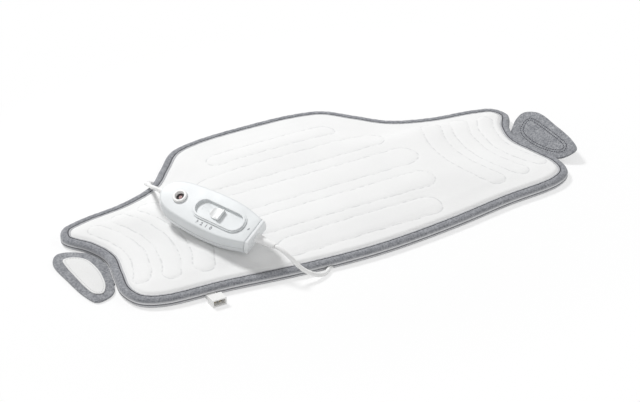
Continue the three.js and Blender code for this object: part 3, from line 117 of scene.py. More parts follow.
def smooth_line(points: Sequence[Vector], closed: bool, per_span: int) -> list[Vector]:
    """Draws a smooth line through points.

    Args:
        points: The points that the line goes through.
        closed: Whether the line runs back to its first point.
        per_span: How many steps each span between two points gets.

    Returns:
        The line's points, with the last point of an open line included.
    """
    count = len(points)
    line: list[Vector] = []
    for i in range(count if closed else count - 1):
        here, there = points[i], points[(i + 1) % count]
        before = points[i - 1] if closed or i > 0 else 2 * here - there
        after = points[(i + 2) % count] if closed or i + 2 < count else 2 * there - here
        near, span, far = (
            max((b - a).length, 1e-9) ** 0.5
            for a, b in ((before, here), (here, there), (there, after))
        )
        leave = (
            (here - before) / near - (there - before) / (near + span) + (there - here) / span
        ) * span
        reach = (
            (there - here) / span - (after - here) / (span + far) + (after - there) / far
        ) * span
        for k in range(per_span):
            t = k / per_span
            line.append(
                here * (2 * t**3 - 3 * t**2 + 1)
                + there * (3 * t**2 - 2 * t**3)
                + leave * (t**3 - 2 * t**2 + t)
                + reach * (t**3 - t**2)
            )
    if not closed:
        line.append(points[-1].copy())
    return line


def even_steps(points: Sequence[Vector], step: float) -> list[Vector]:
    """Walks round a closed line of points in even steps.

    Args:
        points: The line.
        step: The wished step, which is fitted to the line's length.

    Returns:
        Points at even distances along the line.
    """
    run = [*points, points[0]]
    reach = np.concatenate([[0.0], np.cumsum([(b - a).length for a, b in zip(run, run[1:])])])
    marks = np.linspace(0, reach[-1], max(2, round(reach[-1] / step)), endpoint=False)
    flat = np.array(run)
    columns = [np.interp(marks, reach, flat[:, axis]) for axis in range(flat.shape[1])]
    return [Vector(row) for row in zip(*columns)]


def drawn_in(points: Sequence[Vector], distance: float) -> list[Vector]:
    """Moves a closed counter-clockwise plan outline square to itself.

    Args:
        points: The outline's points, in x and y.
        distance: How far inwards each side moves.

    Returns:
        The moved outline, with mitred corners.
    """
    count = len(points)
    moved = []
    for i, point in enumerate(points):
        ahead = (points[(i + 1) % count] - point).to_2d().normalized()
        behind = (point - points[i - 1]).to_2d().normalized()
        along = (ahead + behind).normalized()
        reach = distance / max(along.dot(ahead), LEAST_MITRE)
        moved.append(Vector((point.x - along.y * reach, point.y + along.x * reach, point.z)))
    return moved


def line_distance(at: np.ndarray, line: Sequence[Vector], closed: bool) -> np.ndarray:
    """Measures how far plan points lie from a line.

    Args:
        at: Points as rows of x and y.
        line: The line's points.
        closed: Whether the line runs back to its first point.

    Returns:
        The least distance of each point.
    """
    flat = flat_rows(line)
    starts, ends = (flat, np.roll(flat, -1, axis=0)) if closed else (flat[:-1], flat[1:])
    least = np.full(len(at), np.inf)
    for a, b in zip(starts, ends):
        d = b - a
        t = np.clip((at - a) @ d / max(d @ d, 1e-12), 0, 1)
        off = at - a - t[:, None] * d
        least = np.minimum(least, np.hypot(off[:, 0], off[:, 1]))
    return least


def is_inside(at: np.ndarray, line: Sequence[Vector]) -> np.ndarray:
    """Tells which plan points lie inside a closed line.

    Args:
        at: Points as rows of x and y.
        line: The closed line.

    Returns:
        True for each point inside.
    """
    flat = flat_rows(line)
    odd = np.zeros(len(at), bool)
    for (ax, ay), (bx, by) in zip(flat, np.roll(flat, -1, axis=0)):
        if ay == by:
            continue
        spans = (ay > at[:, 1]) != (by > at[:, 1])
        odd ^= spans & (at[:, 0] < (bx - ax) * (at[:, 1] - ay) / (by - ay) + ax)
    return odd


def ramp(value: np.ndarray, start: float, span: float) -> np.ndarray:
    """Straight step from 0 at a start to 1 at a span past it."""
    return np.clip((value - start) / span, 0, 1)


def eased(t: np.ndarray | float) -> np.ndarray:
    """Smooth step from 0 to 1."""
    t = np.clip(t, 0, 1)
    return t * t * (3 - 2 * t)


def quarter_round(radius: float, top: float) -> list[Pair]:
    """Lists how far in a rounded rim lies at each height.

    Args:
        radius: The rounding's radius.
        top: The height that the rim ends at.

    Returns:
        Pairs of a distance inwards and a height, from the rim's foot to its top.
    """
    return [
        (radius * (1 - math.cos(t)), top - radius * (1 - math.sin(t)))
        for t in np.linspace(0, math.pi / 2, 7)
    ]


# Shader groups and finishes


def fill(node: Node, values: dict[str | int, object]) -> Node:
    """Sets inputs of a node that nothing is joined to.

    Args:
        node: The node.
        values: The value of each input, by its name or number.

    Returns:
        The node.
    """
    for name, value in values.items():
        node.inputs[name].default_value = value
    return node


class Wiring:
    """A node tree while it is being wired."""

    def __init__(self, tree: NodeTree) -> None:
        """Takes the tree to wire."""
        self.tree = tree

    def add(self, kind: str, **settings: object) -> Node:
        """Adds a node.

        Args:
            kind: The node's type name.
            **settings: Attributes to set on it.

        Returns:
            The new node.
        """
        node = self.tree.nodes.new(kind)
        for name, value in settings.items():
            setattr(node, name, value)
        return node

    def join(self, source: NodeSocket, target: NodeSocket) -> None:
        """Links an output to an input."""
        self.tree.links.new(source, target)

    def noise(self, vector: NodeSocket, scale: float, detail: float, rough: float) -> NodeSocket:
        """Adds a noise texture.

        Args:
            vector: Where it is looked up.
            scale: Its scale.
            detail: Its octaves.
            rough: How strong the finer octaves are.

        Returns:
            The noise's value.
        """
        look = {"Scale": scale, "Detail": detail, "Roughness": rough}
        node = fill(self.add("ShaderNodeTexNoise"), look)
        self.join(vector, node.inputs["Vector"])
        return node.outputs["Fac"]

    def range(self, value: NodeSocket, source: Pair, target: Pair) -> NodeSocket:
        """Maps a value from one range to another, clamped.

        Args:
            value: The value.
            source: The range that it comes from.
            target: The range that it goes to.

        Returns:
            The mapped value.
        """
        names = ("From Min", "From Max", "To Min", "To Max")
        node = fill(self.add("ShaderNodeMapRange"), dict(zip(names, (*source, *target))))
        self.join(value, node.inputs["Value"])
        return node.outputs["Result"]

    def math(
        self, operation: str, first: NodeSocket, second: NodeSocket | float = 0.0
    ) -> NodeSocket:
        """Adds a math node.

        Args:
            operation: What it does.
            first: Its first value.
            second: Its second value, as a socket or a number, where it has one.

        Returns:
            The result.
        """
        node = self.add("ShaderNodeMath", operation=operation)
        self.join(first, node.inputs[0])
        if isinstance(second, NodeSocket):
            self.join(second, node.inputs[1])
        else:
            node.inputs[1].default_value = second
        return node.outputs["Value"]

    def tint(
        self, mask: NodeSocket, low: NodeSocket | Triple, high: NodeSocket | Triple
    ) -> NodeSocket:
        """Mixes two colours.

        Args:
            mask: How much of the second colour shows.
            low: The first colour, as a socket or numbers.
            high: The second colour, as a socket or numbers.

        Returns:
            The mixed colour.
        """
        node = self.add("ShaderNodeMix", data_type="RGBA")
        self.join(mask, node.inputs["Factor"])
        for name, colour in (("A", low), ("B", high)):
            socket = next(s for s in node.inputs if s.name == name and s.type == "RGBA")
            if isinstance(colour, NodeSocket):
                self.join(colour, socket)
            else:
                socket.default_value = (*colour, 1.0)
        return next(s for s in node.outputs if s.type == "RGBA")

    def bump(self, height: NodeSocket, strength: float, distance: float, shader: Node) -> None:
        """Raises a fine relief on a shader.

        Args:
            height: The relief's height.
            strength: How strong it is.
            distance: How deep it is, in metres.
            shader: The shader.
        """
        node = fill(self.add("ShaderNodeBump"), {"Strength": strength, "Distance": distance})
        self.join(height, node.inputs["Height"])
        self.join(node.outputs["Normal"], shader.inputs["Normal"])

    def seen(self) -> NodeSocket:
        """Tells whether a ray comes straight from the camera or off a gloss."""
        path = self.add("ShaderNodeLightPath")
        return self.math("MAXIMUM", path.outputs["Is Camera Ray"], path.outputs["Is Glossy Ray"])

    def put_out(self, share: NodeSocket, first: Node, second: Node, kind: str) -> None:
        """Mixes two shaders and puts them out as the tree's surface.

        Args:
            share: How much of the second shader shows.
            first: The first shader.
            second: The second shader.
            kind: The output node's type name.
        """
        mix = self.add("ShaderNodeMixShader")
        for i, source in enumerate((share, first.outputs[0], second.outputs[0])):
            self.join(source, mix.inputs[i])
        self.join(mix.outputs["Shader"], self.add(kind).inputs["Surface"])


def shared_group(
    name: str, takes: dict[str, str], gives: dict[str, str]
) -> tuple[Wiring, Node, Node]:
    """Starts a shared shader node group.

    Args:
        name: Its name.
        takes: The kind of each input.
        gives: The kind of each output.

    Returns:
        Its wiring, its input node and its output node.
    """
    tree = bpy.data.node_groups.new(name, "ShaderNodeTree")
    for way, sockets in (("INPUT", takes), ("OUTPUT", gives)):
        for label, kind in sockets.items():
            tree.interface.new_socket(label, in_out=way, socket_type=f"NodeSocket{kind}")
    wire = Wiring(tree)
    return wire, wire.add("NodeGroupInput"), wire.add("NodeGroupOutput")


def fibre_group() -> NodeTree:
    """Makes the shared group of fibre flecks, pile and slow shade for cloth.

    Returns:
        The node group, with a colour and a height.
    """
    kinds = {"Vector": "Vector", "Scale": "Float"}
    looks = {"Base": "Color", "Fleck": "Color", "Amount": "Float"}
    gives = {"Color": "Color", "Height": "Float"}
    wire, given, done = shared_group("fibre", {**kinds, **looks}, gives)
    base, fleck, amount = (given.outputs[name] for name in looks)
    scaled = wire.add("ShaderNodeVectorMath", operation="SCALE")
    for name in kinds:
        wire.join(given.outputs[name], scaled.inputs[name])
    at = scaled.outputs["Vector"]
    fine = wire.noise(at, 1.0, 3.0, 0.7)
    coarse = wire.noise(at, 0.28, 2.0, 0.6)
    slow = wire.noise(at, 0.02, 2.0, 0.5)
    flecks = wire.math("MULTIPLY", wire.range(fine, (0.38, 0.62), (0.0, 1.0)), amount)
    clouds = wire.math("MULTIPLY", wire.range(coarse, (0.35, 0.7), (0.0, 0.5)), amount)
    clouded = wire.tint(clouds, wire.tint(flecks, base, fleck), fleck)
    shaded = wire.tint(wire.range(slow, (0.3, 0.7), (0.0, 0.03)), clouded, (0.0, 0.0, 0.0))
    lumps, hairs = wire.math("MULTIPLY", coarse, 0.6), wire.math("MULTIPLY", fine, 0.4)
    wire.join(shaded, done.inputs["Color"])
    wire.join(wire.math("ADD", lumps, hairs), done.inputs["Height"])
    return wire.tree


def moulding_group() -> NodeTree:
    """Makes the shared group of moulded grain and faint soiling for plastic.

    Returns:
        The node group, with a colour, a roughness and a height.
    """
    takes = {"Vector": "Vector", "Base": "Color", "Rough": "Float"}
    gives = {"Color": "Color", "Roughness": "Float", "Height": "Float"}
    wire, given, done = shared_group("moulding", takes, gives)
    at, base, rough = (given.outputs[name] for name in takes)
    grain = wire.noise(at, 1600.0, 2.0, 0.6)
    slow = wire.noise(at, 26.0, 3.0, 0.6)
    soiled = wire.tint(wire.range(slow, (0.35, 0.75), (0.0, 0.07)), base, (0.25, 0.25, 0.24))
    uneven = wire.math("ADD", rough, wire.range(slow, (0.3, 0.7), (-0.05, 0.05)))
    for name, source in zip(gives, (soiled, uneven, grain)):
        wire.join(source, done.inputs[name])
    return wire.tree


FIBRE = fibre_group()
MOULDING = moulding_group()


def blank_material(name: str) -> tuple[Material, Wiring, Node, NodeSocket]:
    """Starts a material.

    Args:
        name: Its name.

    Returns:
        The material, its wiring, its shader and the object coordinates.
    """
    material = bpy.data.materials.new(name)
    material.use_nodes = True
    wire = Wiring(material.node_tree)
    shader = next(n for n in material.node_tree.nodes if n.type == "BSDF_PRINCIPLED")
    return material, wire, shader, wire.add("ShaderNodeTexCoord").outputs["Object"]


@dataclass(frozen=True)
class Shade:
    """A painted band of shade or highlight, where an attribute of the mesh lies round a value.

    Its sides are soft, and it can be fainter in places.
    """

    attribute: str
    middle: float
    half: float
    soft: float
    colour: Triple
    amount: float
    faint: float = 0.0
    break_scale: float = 170.0
    break_range: Pair = (0.42, 0.58)

    def over(self, wire: Wiring, colour: NodeSocket, at: NodeSocket) -> NodeSocket:
        """Lays the band over a colour.

        Args:
            wire: The material's wiring.
            colour: The colour under the band.
            at: The object coordinates, for the places where the band is fainter.

        Returns:
            The colour with the band.
        """
        place = wire.add("ShaderNodeAttribute", attribute_name=self.attribute).outputs["Fac"]
        off = wire.math("ABSOLUTE", wire.math("SUBTRACT", place, self.middle))
        mask = wire.range(off, (self.half, self.half + self.soft), (self.amount, 0.0))
        if self.faint:
            breaks = wire.noise(at, self.break_scale, 1.0, 0.5)
            clear = wire.range(breaks, self.break_range, (1.0 - self.faint, 1.0))
            mask = wire.math("MULTIPLY", mask, clear)
        return wire.tint(mask, colour, self.colour)


@dataclass(frozen=True)
class Cloth:
    """A cloth: its ground and fleck colours, its yarn's scale, its pile and its bands of painted
    shade and highlight.
    """

    name: str
    slot: str
    ground: Triple
    fleck: Triple
    amount: float
    scale: float
    pile: float
    sheen: float
    shades: tuple[Shade, ...] = ()
    relief: float = 0.0006
    rough: float = 0.95
    gloss: float = 0.15
    sheen_rough: float = 0.6

    def material(self) -> Material:
        """Makes the cloth's material.

        Returns:
            The material, with its painted shade and highlights along seams and folds.
        """
        material, wire, shader, at = blank_material(self.name)
        yarn = fill(wire.add("ShaderNodeGroup", node_tree=FIBRE), {
            "Base": (*self.ground, 1.0),
            "Fleck": (*self.fleck, 1.0),
            "Amount": self.amount,
            "Scale": self.scale,
        })
        wire.join(at, yarn.inputs["Vector"])
        colour = yarn.outputs["Color"]
        for shade in self.shades:
            colour = shade.over(wire, colour, at)
        wire.join(colour, shader.inputs["Base Color"])
        wire.bump(yarn.outputs["Height"], self.pile, self.relief, shader)
        fill(shader, {
            "Roughness": self.rough,
            "Specular IOR Level": self.gloss,
            "Sheen Weight": self.sheen,
            "Sheen Roughness": self.sheen_rough,
        })
        return material


@dataclass(frozen=True)
class Plastic:
    """A moulded plastic or rubber: its colour, roughness and grain."""

    name: str
    slot: str
    colour: Triple
    rough: float
    grain: float
    coat: float = 0.0
    relief: float = 0.0001

    def material(self) -> Material:
        """Makes the plastic's material.

        Returns:
            The material.
        """
        material, wire, shader, at = blank_material(self.name)
        look = {"Base": (*self.colour, 1.0), "Rough": self.rough}
        mould = fill(wire.add("ShaderNodeGroup", node_tree=MOULDING), look)
        wire.join(at, mould.inputs["Vector"])
        wire.join(mould.outputs["Color"], shader.inputs["Base Color"])
        wire.join(mould.outputs["Roughness"], shader.inputs["Roughness"])
        wire.bump(mould.outputs["Height"], self.grain, self.relief, shader)
        fill(shader, {"Coat Weight": self.coat})
        return material


@dataclass(frozen=True)
class Metal:
    """A bare metal: its colour and roughness, with streaks drawn along one way."""

    name: str
    slot: str
    colour: Triple
    rough: float
    drawn: Triple = (40.0, 900.0, 900.0)
    streak: float = 0.7
    uneven: float = 0.08

    def material(self) -> Material:
        """Makes the metal's material.

        Returns:
            The material.
        """
        material, wire, shader, at = blank_material(self.name)
        stretch = fill(wire.add("ShaderNodeMapping"), {"Scale": self.drawn})
        wire.join(at, stretch.inputs["Vector"])
        drawn = wire.noise(stretch.outputs["Vector"], 1.0, 3.0, 0.6)
        shade = tuple(self.streak * c for c in self.colour)
        tinted = wire.tint(wire.range(drawn, (0.3, 0.7), (0.0, 0.5)), self.colour, shade)
        rough = (self.rough - self.uneven, self.rough + self.uneven)
        wire.join(tinted, shader.inputs["Base Color"])
        wire.join(wire.range(drawn, (0.3, 0.7), rough), shader.inputs["Roughness"])
        fill(shader, {"Metallic": 1.0})
        return material


class Finish(Enum):
    """The finishes of the object's pieces."""

    FLEECE = Cloth(
        "white_fleece", "fleece", (0.90, 0.90, 0.895), (0.86, 0.865, 0.87), 0.35, 900.0, 0.2, 0.1,
        # The fleece's band along each seam is painted shade: the quilted groove's shade painted
        # darker, broken into dashes.
        (Shade("seam", 0.0, 0.1, 1.2, (0.46, 0.47, 0.48), 0.4, 0.85),),
    )
    # The binding's bands are painted light: a painted highlight on the inner hem, a dark band at
    # the stitched seam that is partly its own dark line and partly painted shade in its groove, a
    # painted lightening of the lower outer wall, painted highlights on the folds at rise 5.5 and
    # 2.4, and painted shade under the fold at rise 4.0.
    BINDING = Cloth(
        "grey_binding", "knit", (0.41, 0.42, 0.445), (0.15, 0.155, 0.175), 0.8, 520.0, 0.5, 0.2,
        (
            Shade("inset", 10.6, 1.1, 0.5, (0.56, 0.565, 0.58), 0.7),
            Shade("inset", 8.8, 0.4, 0.5, (0.06, 0.06, 0.07), 0.85),
            Shade("rise", 3.2, 3.4, 1.8, (0.60, 0.605, 0.62), 0.55),
            Shade("rise", 5.5, 0.5, 0.7, (0.80, 0.805, 0.82), 0.75),
            Shade("rise", 4.0, 0.35, 0.5, (0.08, 0.08, 0.095), 0.7),
            Shade("rise", 2.4, 0.5, 0.8, (0.72, 0.725, 0.74), 0.6),
        ),
    )
    KNIT = Cloth(
        "grey_knit", "knit", (0.43, 0.44, 0.46), (0.13, 0.135, 0.155), 0.8, 480.0, 0.5, 0.2
    )
    BACKING = Cloth(
        "grey_backing", "knit", (0.36, 0.37, 0.39), (0.2, 0.205, 0.22), 0.6, 800.0, 0.35, 0.15
    )
    HOOKS = Cloth(
        "white_hooks", "hook", (0.88, 0.88, 0.875), (0.72, 0.72, 0.72), 0.45, 1700.0, 0.6, 0.05
    )
    THREAD = Cloth(
        "dark_thread", "knit", (0.09, 0.095, 0.11), (0.05, 0.05, 0.06), 0.5, 3000.0, 0.3, 0.1
    )
    PALE_THREAD = Cloth(
        "pale_thread", "hook", (0.62, 0.625, 0.63), (0.5, 0.5, 0.51), 0.5, 3000.0, 0.3, 0.1
    )
    # The face shell's plastic is set a little darker than the belly's copy of the same plastic:
    # painted shade that tones down the stronger light on the face.
    CASE = Plastic("pale_casing", "case", (0.745, 0.77, 0.78), 0.42, 0.06)
    CASE_SIDE = Plastic("lighter_belly_casing", "case", (0.77, 0.79, 0.80), 0.45, 0.06)
    # The end cap's plastic is set lighter than the casing's: painted light that makes up for the
    # flat end facing away from the key lamp.
    CAP = Plastic("lightened_end_cap", "case_grey", (0.84, 0.86, 0.87), 0.5, 0.08)
    KNOB = Plastic("white_knob", "case", (0.86, 0.87, 0.87), 0.35, 0.04)
    WHITE = Plastic("white_moulding", "white_plastic", (0.87, 0.87, 0.86), 0.4, 0.05)
    LEAD = Plastic("white_lead", "lead", (0.92, 0.92, 0.915), 0.5, 0.1)
    LENS = Plastic("dark_lens", "dark_lens", (0.035, 0.02, 0.02), 0.12, 0.0, 0.6)
    GLOW = Plastic("red_mark", "lamp_red", (0.5, 0.06, 0.05), 0.3, 0.0)
    # The window's pale pink digit is a painted lit display: its colour stands for the glow of a lit
    # digit, and it gives off no light.
    PINK = Plastic("painted_lit_digit", "lamp_red", (0.62, 0.30, 0.30), 0.3, 0.0)
    INK = Plastic("grey_ink", "case_grey", (0.27, 0.28, 0.3), 0.6, 0.0)
    BLACK = Plastic("black_strap", "black_plastic", (0.025, 0.025, 0.028), 0.5, 0.1)
    STEEL = Metal("bright_steel", "steel", (0.56, 0.57, 0.59), 0.3)
    BRASS = Metal("pale_brass", "brass", (0.58, 0.48, 0.3), 0.35)


_MADE: dict[Finish, Material] = {}


def material_of(finish: Finish) -> Material:
    """Gives a finish's material, made once.

    Args:
        finish: The finish.

    Returns:
        Its material.
    """
    if finish not in _MADE:
        _MADE[finish] = finish.value.material()
    return _MADE[finish]


# Making pieces


def linked(name: str, data: ID) -> Object:
    """Makes an object and links it to the scene.

    Args:
        name: The object's name.
        data: Its mesh, curve, lamp or camera.

    Returns:
        The object.
    """
    made = bpy.data.objects.new(name, data)
    bpy.context.scene.collection.objects.link(made)
    return made


def meshed(name: str, shape: BMesh) -> Mesh:
    """Turns a bmesh into a mesh.

    Args:
        name: The mesh's name.
        shape: The bmesh, which is freed.

    Returns:
        The mesh.
    """
    mesh = bpy.data.meshes.new(name)
    shape.to_mesh(mesh)
    shape.free()
    return mesh


def settle(
    name: str,
    shape: BMesh,
    finish: Finish,
    body: Body,
    nodes: Sequence[str] = (),
    sharp: float = 40.0,
    fold: tuple[Vector, Vector] | None = None,
) -> Object:
    """Turns a bmesh into a finished piece on a body.

    Args:
        name: The piece's name.
        shape: Its bmesh in the row frame, which is freed.
        finish: Its finish.
        body: The body it rides on.
        nodes: The frame's nodes that it stands for.
        sharp: The angle in degrees past which an edge stays sharp.
        fold: Start and end of a bend from the pad to the body, if it has one; the points are not
            used, and a piece given them rides on no body.

    Returns:
        The piece.
    """
    mesh = meshed(name, shape)
    mesh.materials.append(material_of(finish))
    mesh.shade_smooth()
    mesh.set_sharp_from_angle(angle=math.radians(sharp))
    piece = linked(name, mesh)
    if fold:
        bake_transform(piece)
    else:
        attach(piece, body.value)
    if nodes:
        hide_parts(*nodes)
    LOG.info("%s: %d faces", name, len(mesh.polygons))
    return piece


def refined(node: str, finish: Finish, body: Body, width: float, segments: int = 3) -> Object:
    """Makes a rounded copy of a frame node and stands it in for the node.

    Args:
        node: The frame's node.
        finish: The copy's finish.
        body: The body it rides on.
        width: The rounding's width in millimetres.
        segments: How many steps the rounding has.

    Returns:
        The rounded piece.
    """
    shape = bmesh.new()
    shape.from_mesh(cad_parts[node].data)
    bmesh.ops.remove_doubles(shape, verts=shape.verts, dist=2e-6)
    bmesh.ops.dissolve_limit(
        shape, angle_limit=math.radians(0.5), verts=shape.verts, edges=shape.edges
    )
    piece = settle(f"{node}_rounded", shape, finish, body, [node], CREASE)
    rounding = piece.modifiers.new("rounding", "BEVEL")
    rounding.width = width * MM
    rounding.segments = segments
    rounding.limit_method = "ANGLE"
    rounding.angle_limit = math.radians(CREASE)
    rounding.harden_normals = True
    return piece


def repaint(node: str, finish: Finish) -> None:
    """Gives a frame node that stays as it is a better material.

    Args:
        node: The frame's node.
        finish: Its finish.
    """
    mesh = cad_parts[node].data
    mesh.materials.clear()
    mesh.materials.append(material_of(finish))


def closed_loop(shape: BMesh, points: Sequence[Vector]) -> list[BMEdge]:
    """Adds a closed row of vertices and edges to a bmesh and returns the edges."""
    verts = [shape.verts.new(p) for p in points]
    return [shape.edges.new((a, b)) for a, b in zip(verts, [*verts[1:], verts[0]])]


def skin(shape: BMesh, rings: Sequence[Sequence[Vector]]) -> list[list[BMEdge]]:
    """Skins rings of equal point counts.

    Args:
        shape: The bmesh that takes the skin.
        rings: The rings, each a closed row of points.

    Returns:
        The edges of each ring.
    """
    loops = [closed_loop(shape, ring) for ring in rings]
    for a, b in zip(loops, loops[1:]):
        bmesh.ops.bridge_loops(shape, edges=[*a, *b])
    return loops


def capped(rings: Sequence[Sequence[Vector]], both: bool) -> BMesh:
    """Skins rings of equal point counts and fills the last one.

    Args:
        rings: The rings, each a closed row of points.
        both: Whether the first ring is filled too.

    Returns:
        The skinned bmesh, with its faces turned outwards.
    """
    shape = bmesh.new()
    loops = skin(shape, rings)
    for loop in (loops[0], loops[-1]) if both else (loops[-1],):
        bmesh.ops.triangle_fill(shape, use_beauty=True, edges=loop)
    bmesh.ops.recalc_face_normals(shape, faces=shape.faces)
    return shape


@dataclass(frozen=True)
class Stitch:
    """A stitch of a seam on level cloth: its pitch, length and width in millimetres."""

    pitch: float
    length: float
    width: float

    def row(self, line: Sequence[Vector], unit: float) -> BMesh:
        """Sews a row of stitches round a closed line.

        Args:
            line: The seam's points, at even steps of one pitch.
            unit: How much a millimetre is in the line's unit.

        Returns:
            The stitches as one bmesh.
        """
        shape = bmesh.new()
        length, width = self.length * unit, self.width * unit
        size = Matrix.Diagonal((length / 2, width / 2, 0.4 * width, 1.0))
        for here, there in zip(line, [*line[1:], line[0]]):
            along = there - here
            if along.length < 0.3 * self.pitch * unit:
                continue
            along.normalize()
            turn = Matrix((along, UP.cross(along).normalized(), UP)).transposed().to_4x4()
            stand = Matrix.Translation((here + there) / 2) @ turn @ size
            bmesh.ops.create_uvsphere(
                shape, u_segments=6, v_segments=4, radius=1.0, matrix=stand
            )
        return shape


# Stage


@dataclass
class Studio:
    """Floor, soft light and the camera at the photograph's angle, in metres."""

    distance: float = 2.41965
    heading: float = 29.95
    elevation: float = 30.29
    target: Pair = (-0.1, 0.53)
    lens: float = 119.53
    lamps: tuple[tuple[str, Triple, float, float], ...] = (
        ("key", (-0.9, 2.8, 3.7), 1.1, 150.0),
        ("side_fill", (1.8, -0.6, 1.6), 1.8, 10.0),
        ("front_fill", (-1.2, -2.0, 1.5), 2.0, 8.0),
    )
    even_light: float = 0.37
    floor_size: float = 20.0
    floor_drop: float = 2e-4
    floor_shade: float = 0.97
    pool: Triple = (2.4, 3.2, 0.0)
    pool_rim: Pair = (0.8, 1.3)
    pool_white: float = 0.62

    def build(self) -> None:
        """Makes the camera, the floor, the lamps and the world."""
        self.camera()
        self.floor()
        for name, place, size, power in self.lamps:
            self.lamp(name, place, size, power)
        self.world()
        bpy.context.scene.view_settings.view_transform = "Standard"

    def camera(self) -> None:
        """Sets the camera."""
        b, e = math.radians(self.heading), math.radians(self.elevation)
        away = Vector((-math.sin(b) * math.cos(e), -math.cos(b) * math.cos(e), math.sin(e)))
        data = bpy.data.cameras.new("camera")
        data.lens = self.lens
        data.sensor_width = 36.0
        data.clip_end = 50.0
        camera = linked("camera", data)
        camera.location = plan(*self.target) + away * self.distance
        camera.rotation_euler = away.to_track_quat("Z", "Y").to_euler()
        bpy.context.scene.camera = camera

    def floor(self) -> None:
        """Lays a pale floor that shows white to the camera and keeps the object's shadow."""
        shape = bmesh.new()
        drop = Matrix.Translation((0, 0, -self.floor_drop))
        bmesh.ops.create_grid(
            shape, x_segments=1, y_segments=1, size=self.floor_size, matrix=drop
        )
        mesh = meshed("floor", shape)
        floor = linked("floor", mesh)
        material = bpy.data.materials.new("pale_floor")
        material.use_nodes = True
        wire = Wiring(material.node_tree)
        wire.tree.nodes.clear()
        shade = {"Color": (self.floor_shade, self.floor_shade, self.floor_shade, 1.0)}
        matt = fill(wire.add("ShaderNodeBsdfDiffuse"), shade)
        white = fill(wire.add("ShaderNodeEmission"), {"Strength": 1.0})
        spread = fill(wire.add("ShaderNodeVectorMath", operation="MULTIPLY"), {1: self.pool})
        wire.join(wire.add("ShaderNodeTexCoord").outputs["Object"], spread.inputs[0])
        far = wire.add("ShaderNodeVectorMath", operation="LENGTH")
        wire.join(spread.outputs["Vector"], far.inputs[0])
        faded = wire.range(far.outputs["Value"], self.pool_rim, (self.pool_white, 1.0))
        share = wire.math("MULTIPLY", wire.seen(), faded)
        wire.put_out(share, matt, white, "ShaderNodeOutputMaterial")
        mesh.materials.append(material)

    def lamp(self, name: str, place: Triple, size: float, power: float) -> None:
        """Hangs one soft lamp aimed at the pad.

        Args:
            name: The lamp's name.
            place: Where it hangs, in metres.
            size: Its width in metres.
            power: Its power in watts.
        """
        data = bpy.data.lights.new(name, "AREA")
        data.shape = "DISK"
        data.size = size
        data.energy = power
        lamp = linked(name, data)
        lamp.location = place
        away = Vector(place) - plan(*self.target)
        lamp.rotation_euler = away.to_track_quat("Z", "Y").to_euler()

    def world(self) -> None:
        """Sets even light from all round, and white behind the object."""
        world = bpy.data.worlds.new("studio")
        bpy.context.scene.world = world
        world.use_nodes = True
        wire = Wiring(world.node_tree)
        wire.tree.nodes.clear()
        even, white = (
            fill(wire.add("ShaderNodeBackground"), {"Color": (1, 1, 1, 1), "Strength": strength})
            for strength in (self.even_light, 1.0)
        )
        wire.put_out(wire.seen(), even, white, "ShaderNodeOutputWorld")


# Controller's own frame


@dataclass(frozen=True)
class Pose:
    """How the controller lies on the pad: its turns in degrees, and its lens in its own frame."""

    heading: float = -67.5
    pitch: float = 3.4
    roll: float = 26.8
    lens: Triple = (-46.0, 0.0, 9.7)

    def matrix(self) -> Matrix:
        """Works out where the controller lies.

        Returns:
            The matrix from the controller's millimetres to the row frame.
        """
        turn = Matrix.Identity(4)
        for angle, axis in ((self.heading, "Z"), (self.pitch, "Y"), (self.roll, "X")):
            turn = turn @ Matrix.Rotation(math.radians(angle), 4, axis)
        turn = turn @ Matrix.Scale(MM, 4)
        low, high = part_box("indicator_lens")[:2]
        return Matrix.Translation((low + high) / 2 - turn @ Vector(self.lens)) @ turn


ON_CONTROLLER = Pose().matrix()


# Leads


